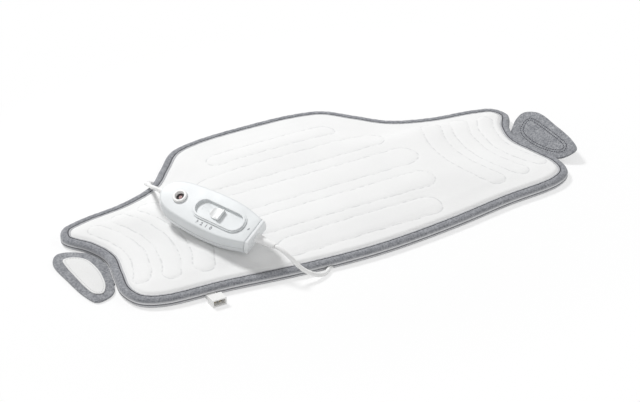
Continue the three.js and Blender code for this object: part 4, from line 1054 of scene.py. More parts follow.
@dataclass
class Leads:
    """The mains lead with its coil and plug, and the pad lead with its coupling plug."""

    mains_diameter: float = 5.0
    pad_lead_diameter: float = 4.6
    lie: float = 0.1
    steps: int = 6
    coil_middle: Pair = (70.0, 15.0)
    coil_radius: float = 39.0
    coil_pitch: float = 5.5
    coil_turns: float = 7.5
    coil_steps: int = 24
    bush_end: float = 83.5
    nose_bush_end: float = -79.0
    nose_bush_rise: float = 4.0
    plug_place: Pair = (-12.0, 54.0)
    plug_half: float = 5.2
    relief: float = 22.0

    def mains_line(self) -> list[Vector]:
        """Lays the mains lead from the controller over the pad's edge to the coil.

        Returns:
            Its line in metres.
        """
        low = self.mains_diameter / 2 + self.lie
        start = [ON_CONTROLLER @ Vector((self.bush_end + step, 0, 0)) for step in (0.3, 4.0)]
        x, y = self.coil_middle
        laid = [
            (-114.7, -123.1, 32.9), (-110.5, -128.9, 27.5), (-103.8, -133.2, 18.2),
            (-98, -137.3, 12.5), (-88.6, -141.4, 6.9), (-80.1, -141.3, 3.8), (-72.4, -138.5, 2.7),
            (-65.3, -132.6, 2.7), (-52, -115, low), (-38, -96, low), (-22, -75, low),
            (-2, -53, low), (24, -34, low), (48, -25.6, low), (x - 8, y - self.coil_radius, low),
            (x - 0.3, y - self.coil_radius, low),
        ]
        return smooth_line(start + [plan(*p) for p in laid], False, self.steps)

    def coil(self) -> list[Vector]:
        """Winds the coil: it spirals in on the table, climbs, and spirals out on top.

        Returns:
            Its line in metres.
        """
        points = []
        x, y = self.coil_middle
        low = self.mains_diameter / 2 + self.lie
        half = self.coil_turns / 2
        for i in range(int(self.coil_turns * self.coil_steps) + 1):
            turns = i / self.coil_steps
            radius = self.coil_radius - self.coil_pitch * (half - abs(turns - half))
            angle = -math.pi / 2 + 2 * math.pi * turns
            rise = self.coil_pitch * float(eased((turns - half + 0.25) / 0.5))
            points.append(
                plan(x + radius * math.cos(angle), y + radius * math.sin(angle), low + rise)
            )
        return points

    def tail_line(self) -> list[Vector]:
        """Lays the mains lead from the coil to the plug's strain relief.

        Returns:
            Its line in metres.
        """
        x, y = self.coil_middle
        high = self.mains_diameter / 2 + self.lie + self.coil_pitch
        end, side = self.plug_place[0] + self.relief, self.plug_place[1]
        laid = [
            (x - 8, y + self.coil_radius, high), ((x + end) / 2 + 8, side, 7.2),
            ((x + end) / 2 - 8, side, 6.0), (end + 8, side, self.plug_half),
            (end + 0.3, side, self.plug_half),
        ]
        return smooth_line([plan(*p) for p in laid], False, self.steps)

    def pad_lead_line(self) -> list[Vector]:
        """Lays the pad lead from the controller over the pad's edge to its coupling plug.

        Returns:
            Its line in metres.
        """
        low = self.pad_lead_diameter / 2 + self.lie
        start = [
            ON_CONTROLLER @ Vector((self.nose_bush_end - step, 0, self.nose_bush_rise))
            for step in (0.3, 5.0)
        ]
        laid = [
            (-186.8, 50.5, 47.4), (-184.6, 61.5, 43.6), (-180.2, 72, 38.6), (-175, 82, 32.4),
            (-170, 92, 25), (-166.2, 101.2, 18.6), (-164.4, 109.6, 14.7), (-163.2, 115.4, 12.4),
            (-161.2, 120.2, 9.9), (-157, 124, 7.3), (-150.8, 125.2, 4.6), (-144, 122.2, 2.9),
            (-139.4, 114.6, low), (-138.6, 104, low), (-142, 84, low), (-141, 58, low),
            (-133, 32, low), (-119, 8, low), (-104, -4, 3.2), (-92, -6, 4.1), (-85.3, -6, 4.1),
        ]
        return smooth_line(start + [plan(*p) for p in laid], False, self.steps)

    def cord(
        self, name: str, points: Sequence[Vector], diameter: float, nodes: Sequence[str]
    ) -> Object:
        """Makes a cord as one open line with a round section.

        Args:
            name: The cord's name.
            points: Its line in metres.
            diameter: Its diameter in millimetres.
            nodes: The frame's nodes that it stands for.

        Returns:
            The cord.
        """
        data = bpy.data.curves.new(name, "CURVE")
        data.dimensions = "3D"
        data.bevel_depth = diameter / 2 * MM
        data.bevel_resolution = 4
        data.use_fill_caps = True
        spline = data.splines.new("POLY")
        spline.points.add(len(points) - 1)
        for at, point in zip(spline.points, points):
            at.co = (*point, 1.0)
        spline.use_smooth = True
        data.materials.append(material_of(Finish.LEAD))
        cord = linked(name, data)
        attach(cord, Body.PAD.value)
        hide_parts(*nodes)
        LOG.info("%s: %d points", name, len(points))
        return cord

    def build(self) -> None:
        """Lays both leads with what is on them."""
        plug = [
            refined("mains_plug_body", Finish.LEAD, Body.PAD, 1.6),
            refined("plug_strain_relief", Finish.LEAD, Body.PAD, 0.4),
            refined("plug_pin_near", Finish.STEEL, Body.PAD, 0.3, 2),
            refined("plug_pin_far", Finish.STEEL, Body.PAD, 0.3, 2),
        ]
        tie = refined("coil_tie", Finish.BLACK, Body.PAD, 0.25, 2)
        coupling = refined("coupling_plug", Finish.WHITE, Body.PAD, 0.6)
        mains = [*self.mains_line()[:-1], *self.coil(), *self.tail_line()]
        nodes = ["mains_lead", "mains_coil", "mains_tail"]
        lead = self.cord("mains_cord", mains, self.mains_diameter, nodes)
        self.length(mains)
        short = self.pad_lead_line()
        pad_lead = self.cord("pad_cord", short, self.pad_lead_diameter, ["pad_lead"])
        self.length(short)

    @staticmethod
    def length(points: Sequence[Vector]) -> float:
        """Adds up a line's length in metres."""
        return sum((b - a).length for a, b in zip(points, points[1:]))


# Pad


@dataclass
class PadPlan:
    """The pad's outline, right half from the front's middle to the back's, and its channels."""

    half: tuple[Pair, ...] = (
        (0, -136), (97, -129.5), (179, -118), (254, -110.15), (276.04, -95.94), (283, -71),
        (276.3, -37), (269.6, -3), (277.967, 26.5), (291, 45.5), (294.7, 56), (286.5, 75.8),
        (260.7, 85.7), (205.433, 94.8), (160.8, 113), (132.05, 143.5), (103.3, 174), (67.3, 185),
        (0, 188.3),
    )
    middle_y: float = 20.0
    row_reach: tuple[float, ...] = (84, 123, 135, 124, 104)
    row_y: tuple[float, ...] = (116, 66, 11.5, -43, -91)
    row_width: tuple[float, ...] = (27, 32, 38.5, 34, 31)
    bow_x: tuple[float, ...] = (170, 207, 239)
    bow_width: tuple[float, ...] = (24, 21, 19)
    bow_reach: tuple[float, ...] = (80, 75, 66)
    bow_middle_y: float = -8.0
    bow_depth: float = 17.0
    edge: list[Vector] = field(init=False)
    angles: np.ndarray = field(init=False)
    radii: np.ndarray = field(init=False)

    def __post_init__(self) -> None:
        """Draws the outline and its radius at each direction."""
        mirrored = [(-x, y) for x, y in reversed(self.half[1:-1])]
        controls = [Vector((x, y, 0)) for x, y in (*self.half, *mirrored)]
        self.edge = smooth_line(controls, True, 12)
        rel = np.array([(p.x, p.y - self.middle_y) for p in self.edge])
        angles = np.arctan2(rel[:, 1], rel[:, 0])
        order = np.argsort(angles)
        self.angles, self.radii = angles[order], np.hypot(rel[:, 0], rel[:, 1])[order]

    def share(self, at: np.ndarray) -> np.ndarray:
        """Tells how far out plan points lie.

        Args:
            at: Points as rows of x and y.

        Returns:
            Each point's share of the way to the outline.
        """
        rel = at - (0.0, self.middle_y)
        ways = np.arctan2(rel[:, 1], rel[:, 0])
        reach = np.interp(ways, self.angles, self.radii, period=2 * math.pi)
        return np.hypot(rel[:, 0], rel[:, 1]) / reach

    def channels(self) -> list[tuple[list[Vector], float]]:
        """Lists the embossed capsules.

        Returns:
            Their middle lines and half widths.
        """
        rows = []
        for y, reach, width in zip(self.row_y, self.row_reach, self.row_width):
            end = reach - width / 2
            rows.append(([Vector((-end, y, 0)), Vector((end, y, 0))], width / 2))
        for side in Side:
            for x, width, reach in zip(self.bow_x, self.bow_width, self.bow_reach):
                end = reach - width / 2
                line = [
                    Vector((
                        side.value * (x + self.bow_depth * k * k), self.bow_middle_y + end * k, 0
                    ))
                    for k in np.linspace(-1, 1, 13)
                ]
                rows.append((line, width / 2))
        return rows


@dataclass
class Pad:
    """The quilted top, the backing and the edge binding of the pad.

    A pair such as dome or roll is where a rise starts and over what length it runs. A layer's three
    heights are those at its crown, its shelf and its edge. The binding's section is a row of insets
    from the outline and heights.
    """

    shape: PadPlan
    blank: Triple = (600.0, 330.0, 29.0)
    crown: float = 21.0
    shelf: float = 14.2
    dome: Pair = (0.45, 0.42)
    tuck: float = 8.6
    brow: float = 11.6
    roll: Pair = (11.0, 4.5)
    slope: Pair = (13.0, 24.0)
    slope_power: float = 1.3
    body: float = 1.0
    grid: float = 1.9
    groove: float = 0.8
    groove_half: float = 1.2
    puff: float = 0.5
    ripple: float = 0.16
    quilt_inset: float = 6.4
    quilt_under: Triple = (18.6, 12.2, 6.7)
    under_dome: Pair = (0.55, 0.27)
    under_slope: Pair = (11.6, 8.0)
    backing_grid: float = 5.0
    backing_inset: float = 7.0
    backing_top: Triple = (13.2, 8.2, 6.3)
    backing_under: Triple = (12.4, 7.4, 5.5)
    binding_step: float = 2.6
    section: tuple[Pair, ...] = (
        (2.6, 0.0), (1.1, 0.7), (0.25, 1.9), (0.0, 3.0), (0.3, 3.7), (0.75, 4.1), (0.3, 4.6),
        (0.0, 5.9), (0.3, 7.6), (1.2, 9.1), (2.7, 10.1), (4.6, 10.6), (6.4, 10.6), (7.8, 10.2),
        (8.5, 9.75), (8.9, 9.7), (9.4, 10.0), (10.4, 10.15), (11.3, 10.0), (11.7, 9.5),
        (11.2, 9.0), (7.6, 8.9), (4.3, 8.7), (4.2, 7.0), (4.3, 5.3), (7.6, 5.2), (11.0, 5.1),
        (11.6, 4.2), (11.2, 2.4), (10.2, 0.9), (8.8, 0.0), (5.6, 0.0),
    )
    pucker: Pair = (0.16, 0.12)
    pucker_rise: Pair = (6.0, 5.0)
    stitch: Stitch = Stitch(3.6, 2.9, 0.8)
    seam_inset: float = 8.8
    seam_height: float = 10.05
    lead_top: float = 4.5
    nose_lead_x: float = -130.0
    soft_angle: float = 60.0

    def top_height(self, at: np.ndarray) -> np.ndarray:
        """Gives the quilted face's height.

        Args:
            at: Plan points as rows of x and y.

        Returns:
            Each point's height in millimetres.
        """
        x, y = at[:, 0], at[:, 1]
        fall = eased(ramp(self.shape.share(at), *self.dome))
        dome = self.crown + (self.shelf - self.crown) * fall
        inset = line_distance(at, self.shape.edge, True)
        roll, rise = ramp(inset, *self.roll), ramp(inset, *self.slope)
        height = self.tuck + (self.brow - self.tuck) * (1 - (1 - roll) ** 2)
        height += (dome - self.brow) * (1 - (1 - rise) ** self.slope_power)
        sway = self.sway(at)
        gather = np.sin(x / 1.5 + y / 2.3 + 1.4 * np.sin(y / 11.0))
        pull = self.groove * (0.72 + 0.28 * gather)
        for line, half in self.shape.channels():
            off = line_distance(at, line, False) + sway
            height -= pull * np.exp(-(((off - half) / self.groove_half) ** 2))
            height += self.puff * np.clip(1 - (off / half) ** 2, 0, None)
        waves = np.sin(x / 17.0 + 1.3 * np.sin(y / 23.0)) * np.sin(y / 19.0 + 0.7)
        return height + self.ripple * waves * rise

    @staticmethod
    def sway(at: np.ndarray) -> np.ndarray:
        """Gives how far a sewn line strays at plan points, in millimetres."""
        x, y = at[:, 0], at[:, 1]
        return 0.45 * np.sin(x / 6.1 + y / 9.7) + 0.35 * np.sin(x / 3.3 - y / 4.9 + 1.7)

    def seam_distance(self, at: np.ndarray) -> np.ndarray:
        """Measures how far plan points lie outside the nearest channel's seam.

        Args:
            at: Plan points as rows of x and y.

        Returns:
            Each point's distance in millimetres, below 0 inside the channel.
        """
        nearest = np.full(len(at), 50.0)
        sway = self.sway(at)
        for line, half in self.shape.channels():
            off = line_distance(at, line, False) + sway - half
            nearest = np.where(np.abs(off) < np.abs(nearest), off, nearest)
        return nearest

    def under_height(self, at: np.ndarray, heights: Triple) -> np.ndarray:
        """Gives the height of a plain layer.

        Args:
            at: Plan points as rows of x and y.
            heights: The layer's heights at the crown, the shelf and the edge.

        Returns:
            Each point's height in millimetres.
        """
        crown, shelf, edge = heights
        dome = crown + (shelf - crown) * ramp(self.shape.share(at), *self.under_dome)
        rise = ramp(line_distance(at, self.shape.edge, True), *self.under_slope)
        return edge + (dome - edge) * rise

    def quilt_floor(self, at: np.ndarray) -> np.ndarray:
        """Gives the height of the quilt's underside, which keeps its body under the face."""
        plain = self.under_height(at, self.quilt_under)
        return np.minimum(plain, self.top_height(at) - self.body)

    def layer(self, step: float, inset: float, high: Heights, low: Heights) -> BMesh:
        """Makes a closed layer of the pad from a grid cut to the outline.

        Args:
            step: The grid's step in millimetres.
            inset: How far inside the outline the layer ends.
            high: Gives the upper face's heights at plan points.
            low: Gives the lower face's heights at plan points.

        Returns:
            The layer in the row frame.
        """
        shape = bmesh.new()
        across, deep, middle = self.blank
        bmesh.ops.create_grid(
            shape, x_segments=round(across / step), y_segments=round(deep / step), size=0.5,
            matrix=Matrix.Translation((0, middle, 0)) @ Matrix.Diagonal((across, deep, 1, 1)),
        )
        at = flat_rows(v.co for v in shape.verts)
        edge = self.shape.edge
        keep = is_inside(at, edge) & (line_distance(at, edge, True) > inset)
        cut = [v for v, k in zip(shape.verts, keep) if not k]
        bmesh.ops.delete(shape, geom=cut, context="VERTS")
        loose = [v for v in shape.verts if not v.link_faces]
        bmesh.ops.delete(shape, geom=loose, context="VERTS")
        made = bmesh.ops.extrude_face_region(shape, geom=shape.faces[:])
        upper = [g for g in made["geom"] if isinstance(g, BMVert)]
        raised = set(upper)
        lower = [v for v in shape.verts if v not in raised]
        for verts, height in ((upper, high), (lower, low)):
            for vert, z in zip(verts, height(flat_rows(v.co for v in verts))):
                vert.co = plan(vert.co.x, vert.co.y, z)
        bmesh.ops.recalc_face_normals(shape, faces=shape.faces)
        return shape

    def build(self) -> None:
        """Makes the pad's visible layers."""
        top = self.layer(self.grid, self.quilt_inset, self.top_height, self.quilt_floor)
        # Each vertex keeps its distance to the nearest seam, which places the fleece's painted
        # groove shade.
        seam = top.verts.layers.float.new("seam")
        at = flat_rows(v.co for v in top.verts) / MM - np.array(PLAN_SHIFT[:2])
        for vert, off in zip(top.verts, self.seam_distance(at)):
            vert[seam] = off
        nodes = ["top_cover", "upper_wadding"]
        quilt = settle("quilted_top", top, Finish.FLEECE, Body.PAD, nodes, self.soft_angle)
        under = self.layer(
            self.backing_grid, self.backing_inset,
            lambda at: self.under_height(at, self.backing_top),
            lambda at: self.under_height(at, self.backing_under),
        )
        nodes = ["bottom_cover", "lower_wadding"]
        back = settle("backing", under, Finish.BACKING, Body.PAD, nodes, self.soft_angle)
        self.binding()
        repaint("heating_wire", Finish.LEAD)
        repaint("thermal_cutout", Finish.STEEL)

    def passages(self) -> list[tuple[list[Vector], float, float]]:
        """Lists what goes through under the binding.

        Returns:
            Each one's line in metres, and its half width and top in millimetres.
        """
        leads = Leads()
        low = self.lead_top * MM
        mains = [p for p in leads.mains_line() if p.z < low]
        nose = [p for p in leads.pad_lead_line() if p.z < low and p.x < self.nose_lead_x * MM]
        neck = [plan(SOCKET_X, -124), plan(SOCKET_X, -84)]
        return [(mains, 3.1, 5.3), (nose, 2.9, 4.9), (neck, 6.5, 4.9)]

    def stand(
        self, verts: Sequence[BMVert], keys: Sequence[BMLayerItem], at: Vector, inwards: Vector,
        number: int,
    ) -> None:
        """Brings one row of the binding's vertices to its place, a little puckered.

        Args:
            verts: The row's vertices.
            keys: The layers that hold each vertex's inset and height in the section.
            at: The row's place on the outline.
            inwards: The way inwards from there.
            number: The row's number.
        """
        wide, fine = self.pucker
        pucker = wide * math.sin(number * 1.9) + fine * math.sin(number * 0.83 + 1.0)
        start, span = self.pucker_rise
        for vert in verts:
            inset, z = (vert[key] for key in keys)
            p = at + inwards * inset
            vert.co = plan(p.x, p.y, z + pucker * max(0.0, (z - start) / span))

    def binding(self) -> None:
        """Sweeps the padded binding round the outline, and sews its inner edge."""
        stations = even_steps(self.shape.edge, self.binding_step)
        shape = bmesh.new()
        # Each vertex keeps its inset and height in the section, which place the binding's painted
        # highlights and shade.
        keys = [shape.verts.layers.float.new(name) for name in ("inset", "rise")]
        row = [shape.verts.new((0, 0, 0)) for _ in self.section]
        for vert, place in zip(row, self.section):
            for key, value in zip(keys, place):
                vert[key] = value
        start = loop = [shape.edges.new((a, b)) for a, b in zip(row, [*row[1:], row[0]])]
        for i, station in enumerate(stations):
            if i:
                made = bmesh.ops.extrude_edge_only(shape, edges=loop)["geom"]
                loop = [g for g in made if isinstance(g, BMEdge)]
                row = [g for g in made if isinstance(g, BMVert)]
            along = (stations[(i + 1) % len(stations)] - stations[i - 1]).normalized()
            self.stand(row, keys, station, Vector((-along.y, along.x, 0)), i)
        bmesh.ops.bridge_loops(shape, edges=[*start, *loop])
        for line, half, top in self.passages():
            near = line_distance(flat_rows(v.co for v in shape.verts), line, False) < half * MM
            for vert, hit in zip(shape.verts, near):
                if hit and vert.co.z < top * MM:
                    vert.co.z = top * MM
        bmesh.ops.recalc_face_normals(shape, faces=shape.faces)
        piece = settle(
            "edge_binding_padded", shape, Finish.BINDING, Body.PAD, ["edge_binding"],
            self.soft_angle,
        )
        line = drawn_in(even_steps(self.shape.edge, self.stitch.pitch), self.seam_inset)
        seam = self.stitch.row([plan(p.x, p.y, self.seam_height) for p in line], MM)
        settle("binding_stitches", seam, Finish.THREAD, Body.PAD)


# Closing tabs


@dataclass
class ClosingTab:
    """A closing tab: its cloth, which folds at the notch's mouth, its hook patch and stitching.

    The patch's borders are those at the fold, the far side, the top and the bottom.
    """

    side: Side
    shape: PadPlan
    fold_x: float = 280.0
    fold_half: float = 1.2
    fold_cuts: Triple = (-3.0, 3.6, 0.8)
    reach: float = 40.0
    high_y: float = 39.5
    low_y: float = -68.0
    fold_high: float = 27.0
    fold_low: float = -47.0
    floor_gap: float = 0.3
    thickness: float = 2.6
    rounding: float = 0.9
    patch_borders: tuple[float, float, float, float] = (3.0, 9.5, 15.0, 10.5)
    patch: float = 1.2
    patch_rounding: float = 0.35
    lift: float = 25.0
    soft_angle: float = 50.0
    pale_stitch: Stitch = Stitch(3.2, 2.8, 0.7)
    pale_borders: tuple[float, ...] = (2.2,)
    dark_stitch: Stitch = Stitch(3.2, 2.8, 1.2)
    dark_borders: tuple[float, ...] = (0.0, 3.2)

    @property
    def body(self) -> Body:
        """The body that the tab's patch and stitches ride on."""
        return Body.LEFT_TAB if self.side is Side.LEFT else Body.RIGHT_TAB

    @property
    def name(self) -> str:
        """The tab's name."""
        return self.side.name.lower()

    def flap(self) -> list[Vector]:
        """Draws the flap's outline, as on the right-hand side.

        Returns:
            Its points from the low end of the fold to its high end.
        """
        near, far = self.fold_x + 0.3, self.fold_x + self.reach
        low, high = self.low_y, self.high_y
        points = [
            (near, self.fold_low), (near + 5, low + 9.5), (near + 15, low + 1.5), (near + 30, low),
            (far - 3.5, low + 16), (far, (high + low) / 2), (far, high - 15), (far - 11, high),
            (near + 16, high - 1.5), (near, self.fold_high),
        ]
        return smooth_line([Vector((x, y, 0)) for x, y in points], False, 6)

    def patch_outline(self) -> list[Vector]:
        """Draws the rounded three-cornered patch, as on the right-hand side.

        Returns:
            Its points, counter-clockwise.
        """
        fold, far, top, bottom = self.patch_borders
        x0, x1 = self.fold_x + fold, self.fold_x + self.reach - far
        y0, y1 = self.low_y + bottom, self.high_y - top
        corners = (
            (0.86, 0.05), (0.97, 0.24), (1, 0.55), (1, 0.82), (0.9, 1), (0.5, 0.99), (0.12, 0.87),
            (0, 0.63), (0.06, 0.37), (0.28, 0.12), (0.57, 0),
        )
        points = [Vector((x0 + (x1 - x0) * u, y0 + (y1 - y0) * v, 0)) for u, v in corners]
        return smooth_line(points, True, 6)

    def outline(self) -> list[Vector]:
        """Draws the whole tab, the flap and its root up to the binding.

        Returns:
            Its points, counter-clockwise.
        """
        notch = [
            Vector((p.x + 0.25, p.y, 0))
            for p in self.shape.edge
            if self.fold_x - 14 < p.x < self.fold_x - 0.5 and self.fold_low < p.y < self.fold_high
        ]
        return [*self.flap(), *sorted(notch, key=lambda p: -p.y)]

    def stand(self, shape: BMesh) -> None:
        """Brings a mesh from the right-hand side's plan to its place, lifted where it lifts.

        Args:
            shape: The mesh, in plan millimetres.
        """
        hinge = self.floor_gap + self.thickness
        angle = math.radians(self.lift) if self.side is Side.RIGHT else 0.0
        for vert in shape.verts:
            x, z = vert.co.x - self.fold_x, vert.co.z - hinge
            share = float(eased((x + self.fold_half) / (2 * self.fold_half)))
            c, s = math.cos(share * angle), math.sin(share * angle)
            turned_x, turned_z = self.fold_x + x * c - z * s, hinge + x * s + z * c
            vert.co = plan(self.side.value * turned_x, vert.co.y, turned_z)
        if self.side is Side.LEFT:
            bmesh.ops.reverse_faces(shape, faces=shape.faces)

    def slab(self, outline: Sequence[Vector], low: float, high: float, rounding: float) -> BMesh:
        """Raises an outline to a slab with rounded rims.

        Args:
            outline: The plan outline in millimetres, counter-clockwise.
            low: The lower face's height.
            high: The upper face's height.
            rounding: The rim's rounding.

        Returns:
            The slab in plan millimetres.
        """
        shape = bmesh.new()
        loop = closed_loop(shape, [Vector((p.x, p.y, low)) for p in outline])
        base = bmesh.ops.contextual_create(shape, geom=loop)["faces"]
        made = bmesh.ops.extrude_face_region(shape, geom=base)["geom"]
        raised = [g for g in made if isinstance(g, BMVert)]
        bmesh.ops.translate(shape, verts=raised, vec=(0, 0, high - low))
        bmesh.ops.recalc_face_normals(shape, faces=shape.faces)
        rims = [e for e in shape.edges if abs(e.verts[0].co.z - e.verts[1].co.z) < 1e-6]
        bmesh.ops.bevel(
            shape, geom=rims, offset=rounding, offset_type="OFFSET", affect="EDGES", segments=3,
            profile=0.5, material=-1, clamp_overlap=True,
        )
        bmesh.ops.triangulate(shape, faces=[f for f in shape.faces if len(f.verts) > 4])
        return shape

    def cloth(self, low: float, high: float) -> None:
        """Makes the tab's cloth, with cuts along its fold so that it can bend there.

        Args:
            low: The lower face's height.
            high: The upper face's height.
        """
        shape = self.slab(self.outline(), low, high, self.rounding)
        first, last, step = self.fold_cuts
        for x in np.arange(self.fold_x + first, self.fold_x + last, step):
            bmesh.ops.bisect_plane(
                shape, geom=[*shape.verts, *shape.edges, *shape.faces], plane_co=(x, 0, 0),
                plane_no=(1, 0, 0), dist=1e-5,
            )
        self.stand(shape)
        ends = (self.fold_x - self.fold_half, self.fold_x + self.fold_half)
        start, end = (plan(self.side.value * x, 0, high) for x in ends)
        piece = settle(
            f"{self.name}_tab_cloth", shape, Finish.KNIT, self.body,
            [f"{self.name}_tab_root", f"{self.name}_tab_flap"], self.soft_angle, (start, end),
        )

    def build(self) -> None:
        """Makes the tab's cloth, its patch and the stitching on its upper face."""
        low, high = self.floor_gap, self.floor_gap + self.thickness
        self.cloth(low, high)
        above = self.side is Side.LEFT
        z = high if above else low - self.patch
        patch = self.slab(self.patch_outline(), z, z + self.patch, self.patch_rounding)
        self.stand(patch)
        hooks = settle(
            f"{self.name}_hooks", patch, Finish.HOOKS, self.body, [f"{self.name}_hook_patch"],
            self.soft_angle,
        )
        if above:
            stitch, borders, thread = self.pale_stitch, self.pale_borders, Finish.PALE_THREAD
        else:
            stitch, borders, thread = self.dark_stitch, self.dark_borders, Finish.THREAD
        for i, border in enumerate(borders):
            line = even_steps(drawn_in(self.patch_outline(), border), stitch.pitch)
            seam = stitch.row(line, 1.0)
            level = z + self.patch if above else high
            bmesh.ops.translate(seam, verts=seam.verts, vec=(0, 0, level))
            self.stand(seam)
            settle(f"{self.name}_tab_stitches_{i + 1}", seam, thread, self.body)


# Controller


@dataclass
class Casing:
    """The controller's casing: a face shell, a belly shell and an end cap.

    The slot is given by its middle, length and width, and the ring window by its middle and radius.
    """

    nose: float = 74.0
    tail: float = 57.0
    half_width: float = 27.6
    tail_half: float = 19.2
    cap: float = 4.2
    cap_round: float = 1.8
    cap_gap: float = 0.3
    cap_shares: tuple[float, ...] = (0.95, 0.9, 0.82, 0.7, 0.52, 0.3)
    face: float = 12.0
    parting: float = 0.15
    belly: float = 11.0
    belly_shares: tuple[float, ...] = (
        0.0, 0.2, 0.4, 0.55, 0.66, 0.75, 0.82, 0.88, 0.925, 0.955, 0.975, 0.989, 0.997
    )
    fullness: float = 7.0
    nose_fullness: float = 0.45
    wall: float = 1.8
    edge_round: float = 1.8
    lean: float = 3.2
    nose_lean: float = 2.0
    tail_rake: float = 7.0
    slot: Triple = (10.0, 65.9, 23.6)
    ring: Pair = (-46.0, 7.3)
    sharp_angle: float = 38.0

    def outline(self) -> list[Vector]:
        """Draws the casing's plan outline.

        Returns:
            Its points, counter-clockwise from one corner of the flat end to the other.
        """
        w = self.half_width
        side = [
            (self.tail, self.tail_half), (self.tail / 2, 0.945 * w), (0, w),
            (25 - self.nose / 1.36, 0.94 * w), (20 - self.nose, 0.8 * w), (6 - self.nose, 0.5 * w),
        ]
        points = [*side, (-self.nose, 0), *[(x, -y) for x, y in reversed(side)]]
        return smooth_line([Vector((x, y, 0)) for x, y in points], False, 8)

    def tail_at(self, z: float) -> float:
        """Tells where the raked flat end lies at a height."""
        return self.tail - self.tail_rake * (self.face - z) / (self.face + self.belly)

    def placed(self, z: float, shorten: float, narrow: float) -> list[Vector]:
        """Gives the outline at a height, cut back at the raked flat end.

        Args:
            z: The height over the parting line.
            shorten: The share of its length that it keeps.
            narrow: The share of its width that it keeps.

        Returns:
            The outline's points at that height.
        """
        tail = self.tail_at(z)
        reach = shorten * (tail + self.nose) / (self.tail + self.nose)
        return [
            Vector((tail - (self.tail - p.x) * reach, p.y * narrow, z)) for p in self.outline()
        ]

    def leaned(self, z: float) -> list[Vector]:
        """Gives the outline at a height, narrower as the walls lean in.

        Args:
            z: The height over the parting line.

        Returns:
            The outline's points at that height.
        """
        share = z / self.face
        narrow = 1 - self.lean * share / self.half_width
        shorten = 1 - self.nose_lean * share / (self.nose + self.tail)
        return self.placed(z, shorten, narrow)

    def face_levels(self) -> list[Pair]:
        """Lists how far the face shell is drawn in at each height, from the parting line up."""
        foot = [(0.35, self.parting), (0.0, 0.6), (0.0, self.face / 2)]
        return foot + quarter_round(self.edge_round, self.face)

    def belly_ring(self, share: float) -> list[Vector]:
        """Gives the belly's outline at a depth.

        Args:
            share: The share of the belly's depth.

        Returns:
            The outline's points at that depth.
        """
        narrow = (1 - share**self.fullness) ** (1 / self.fullness)
        shorten = 1 - self.nose_fullness * (1 - narrow)
        return self.placed(-self.parting - share * self.belly, shorten, narrow)

    def face_shell(self) -> BMesh:
        """Makes the face shell with its openings for the slide and the ring window.

        Returns:
            The shell in the controller's millimetres.
        """
        shape = bmesh.new()
        loops = skin(shape, [drawn_in(self.leaned(z), d) for d, z in self.face_levels()])
        x, length, width = self.slot
        r = width / 2
        slot = [
            Vector((x + s * (length / 2 - r) + r * math.cos(a), r * math.sin(a), self.face))
            for s, start in ((1, -math.pi / 2), (-1, math.pi / 2))
            for a in np.linspace(start, start + math.pi, 13)
        ]
        x, r = self.ring
        ring = [
            Vector((x + r * math.cos(a), r * math.sin(a), self.face))
            for a in np.linspace(0, 2 * math.pi, 32, endpoint=False)
        ]
        holes = [e for hole in (slot, ring) for e in closed_loop(shape, hole)]
        bmesh.ops.triangle_fill(
            shape, use_beauty=True, edges=[*loops[-1], *holes], normal=(0, 0, 1)
        )
        bmesh.ops.recalc_face_normals(shape, faces=shape.faces)
        bmesh.ops.solidify(shape, geom=shape.faces[:], thickness=self.wall)
        return shape

    def belly_shell(self) -> BMesh:
        """Makes the belly shell.

        Returns:
            The shell in the controller's millimetres.
        """
        shape = capped([self.belly_ring(s) for s in self.belly_shares], False)
        bmesh.ops.solidify(shape, geom=shape.faces[:], thickness=self.wall)
        return shape

    def end_cap(self) -> BMesh:
        """Makes the rounded plate that closes the flat end.

        Returns:
            The plate in the controller's millimetres.
        """
        gap = self.cap_gap
        side = [
            (self.belly_ring(s)[0].y - gap, -self.parting - s * self.belly)
            for s in self.cap_shares
        ]
        side += [(self.leaned(z)[0].y - d - gap, z) for d, z in self.face_levels()[1:]]
        outline = [Vector((y, z, 0)) for y, z in (*side, *[(-y, z) for y, z in reversed(side)])]
        levels = [(0.0, gap), *quarter_round(self.cap_round, gap + self.cap)]
        rings = [
            [Vector((self.tail_at(p.y) + out, p.x, p.y)) for p in drawn_in(outline, d)]
            for d, out in levels
        ]
        return capped(rings, True)

    def build(self) -> None:
        """Makes the casing's pieces, and repaints what is inside it."""
        for name, shape, finish, node in (
            ("casing_face", self.face_shell(), Finish.CASE, "controller_top_shell"),
            ("casing_belly", self.belly_shell(), Finish.CASE_SIDE, "controller_bottom_shell"),
            ("casing_end", self.end_cap(), Finish.CAP, "controller_end_cap"),
        ):
            bmesh.ops.transform(shape, matrix=ON_CONTROLLER, verts=shape.verts)
            settle(name, shape, finish, Body.PAD, [node], self.sharp_angle)
        inside = {
            Finish.STEEL: [*[f"casing_screw_{i}" for i in range(1, 5)], "fuse_link"],
            Finish.BLACK: ["switch_base", "lamp_shroud", "triac"],
            Finish.GLOW: ["capacitor", "indicator_lamp"],
            Finish.BRASS: ["contact_comb"],
            Finish.CAP: ["circuit_board"],
            Finish.WHITE: ["slider_carriage"],
        }
        for finish, nodes in inside.items():
            for node in nodes:
                repaint(node, finish)


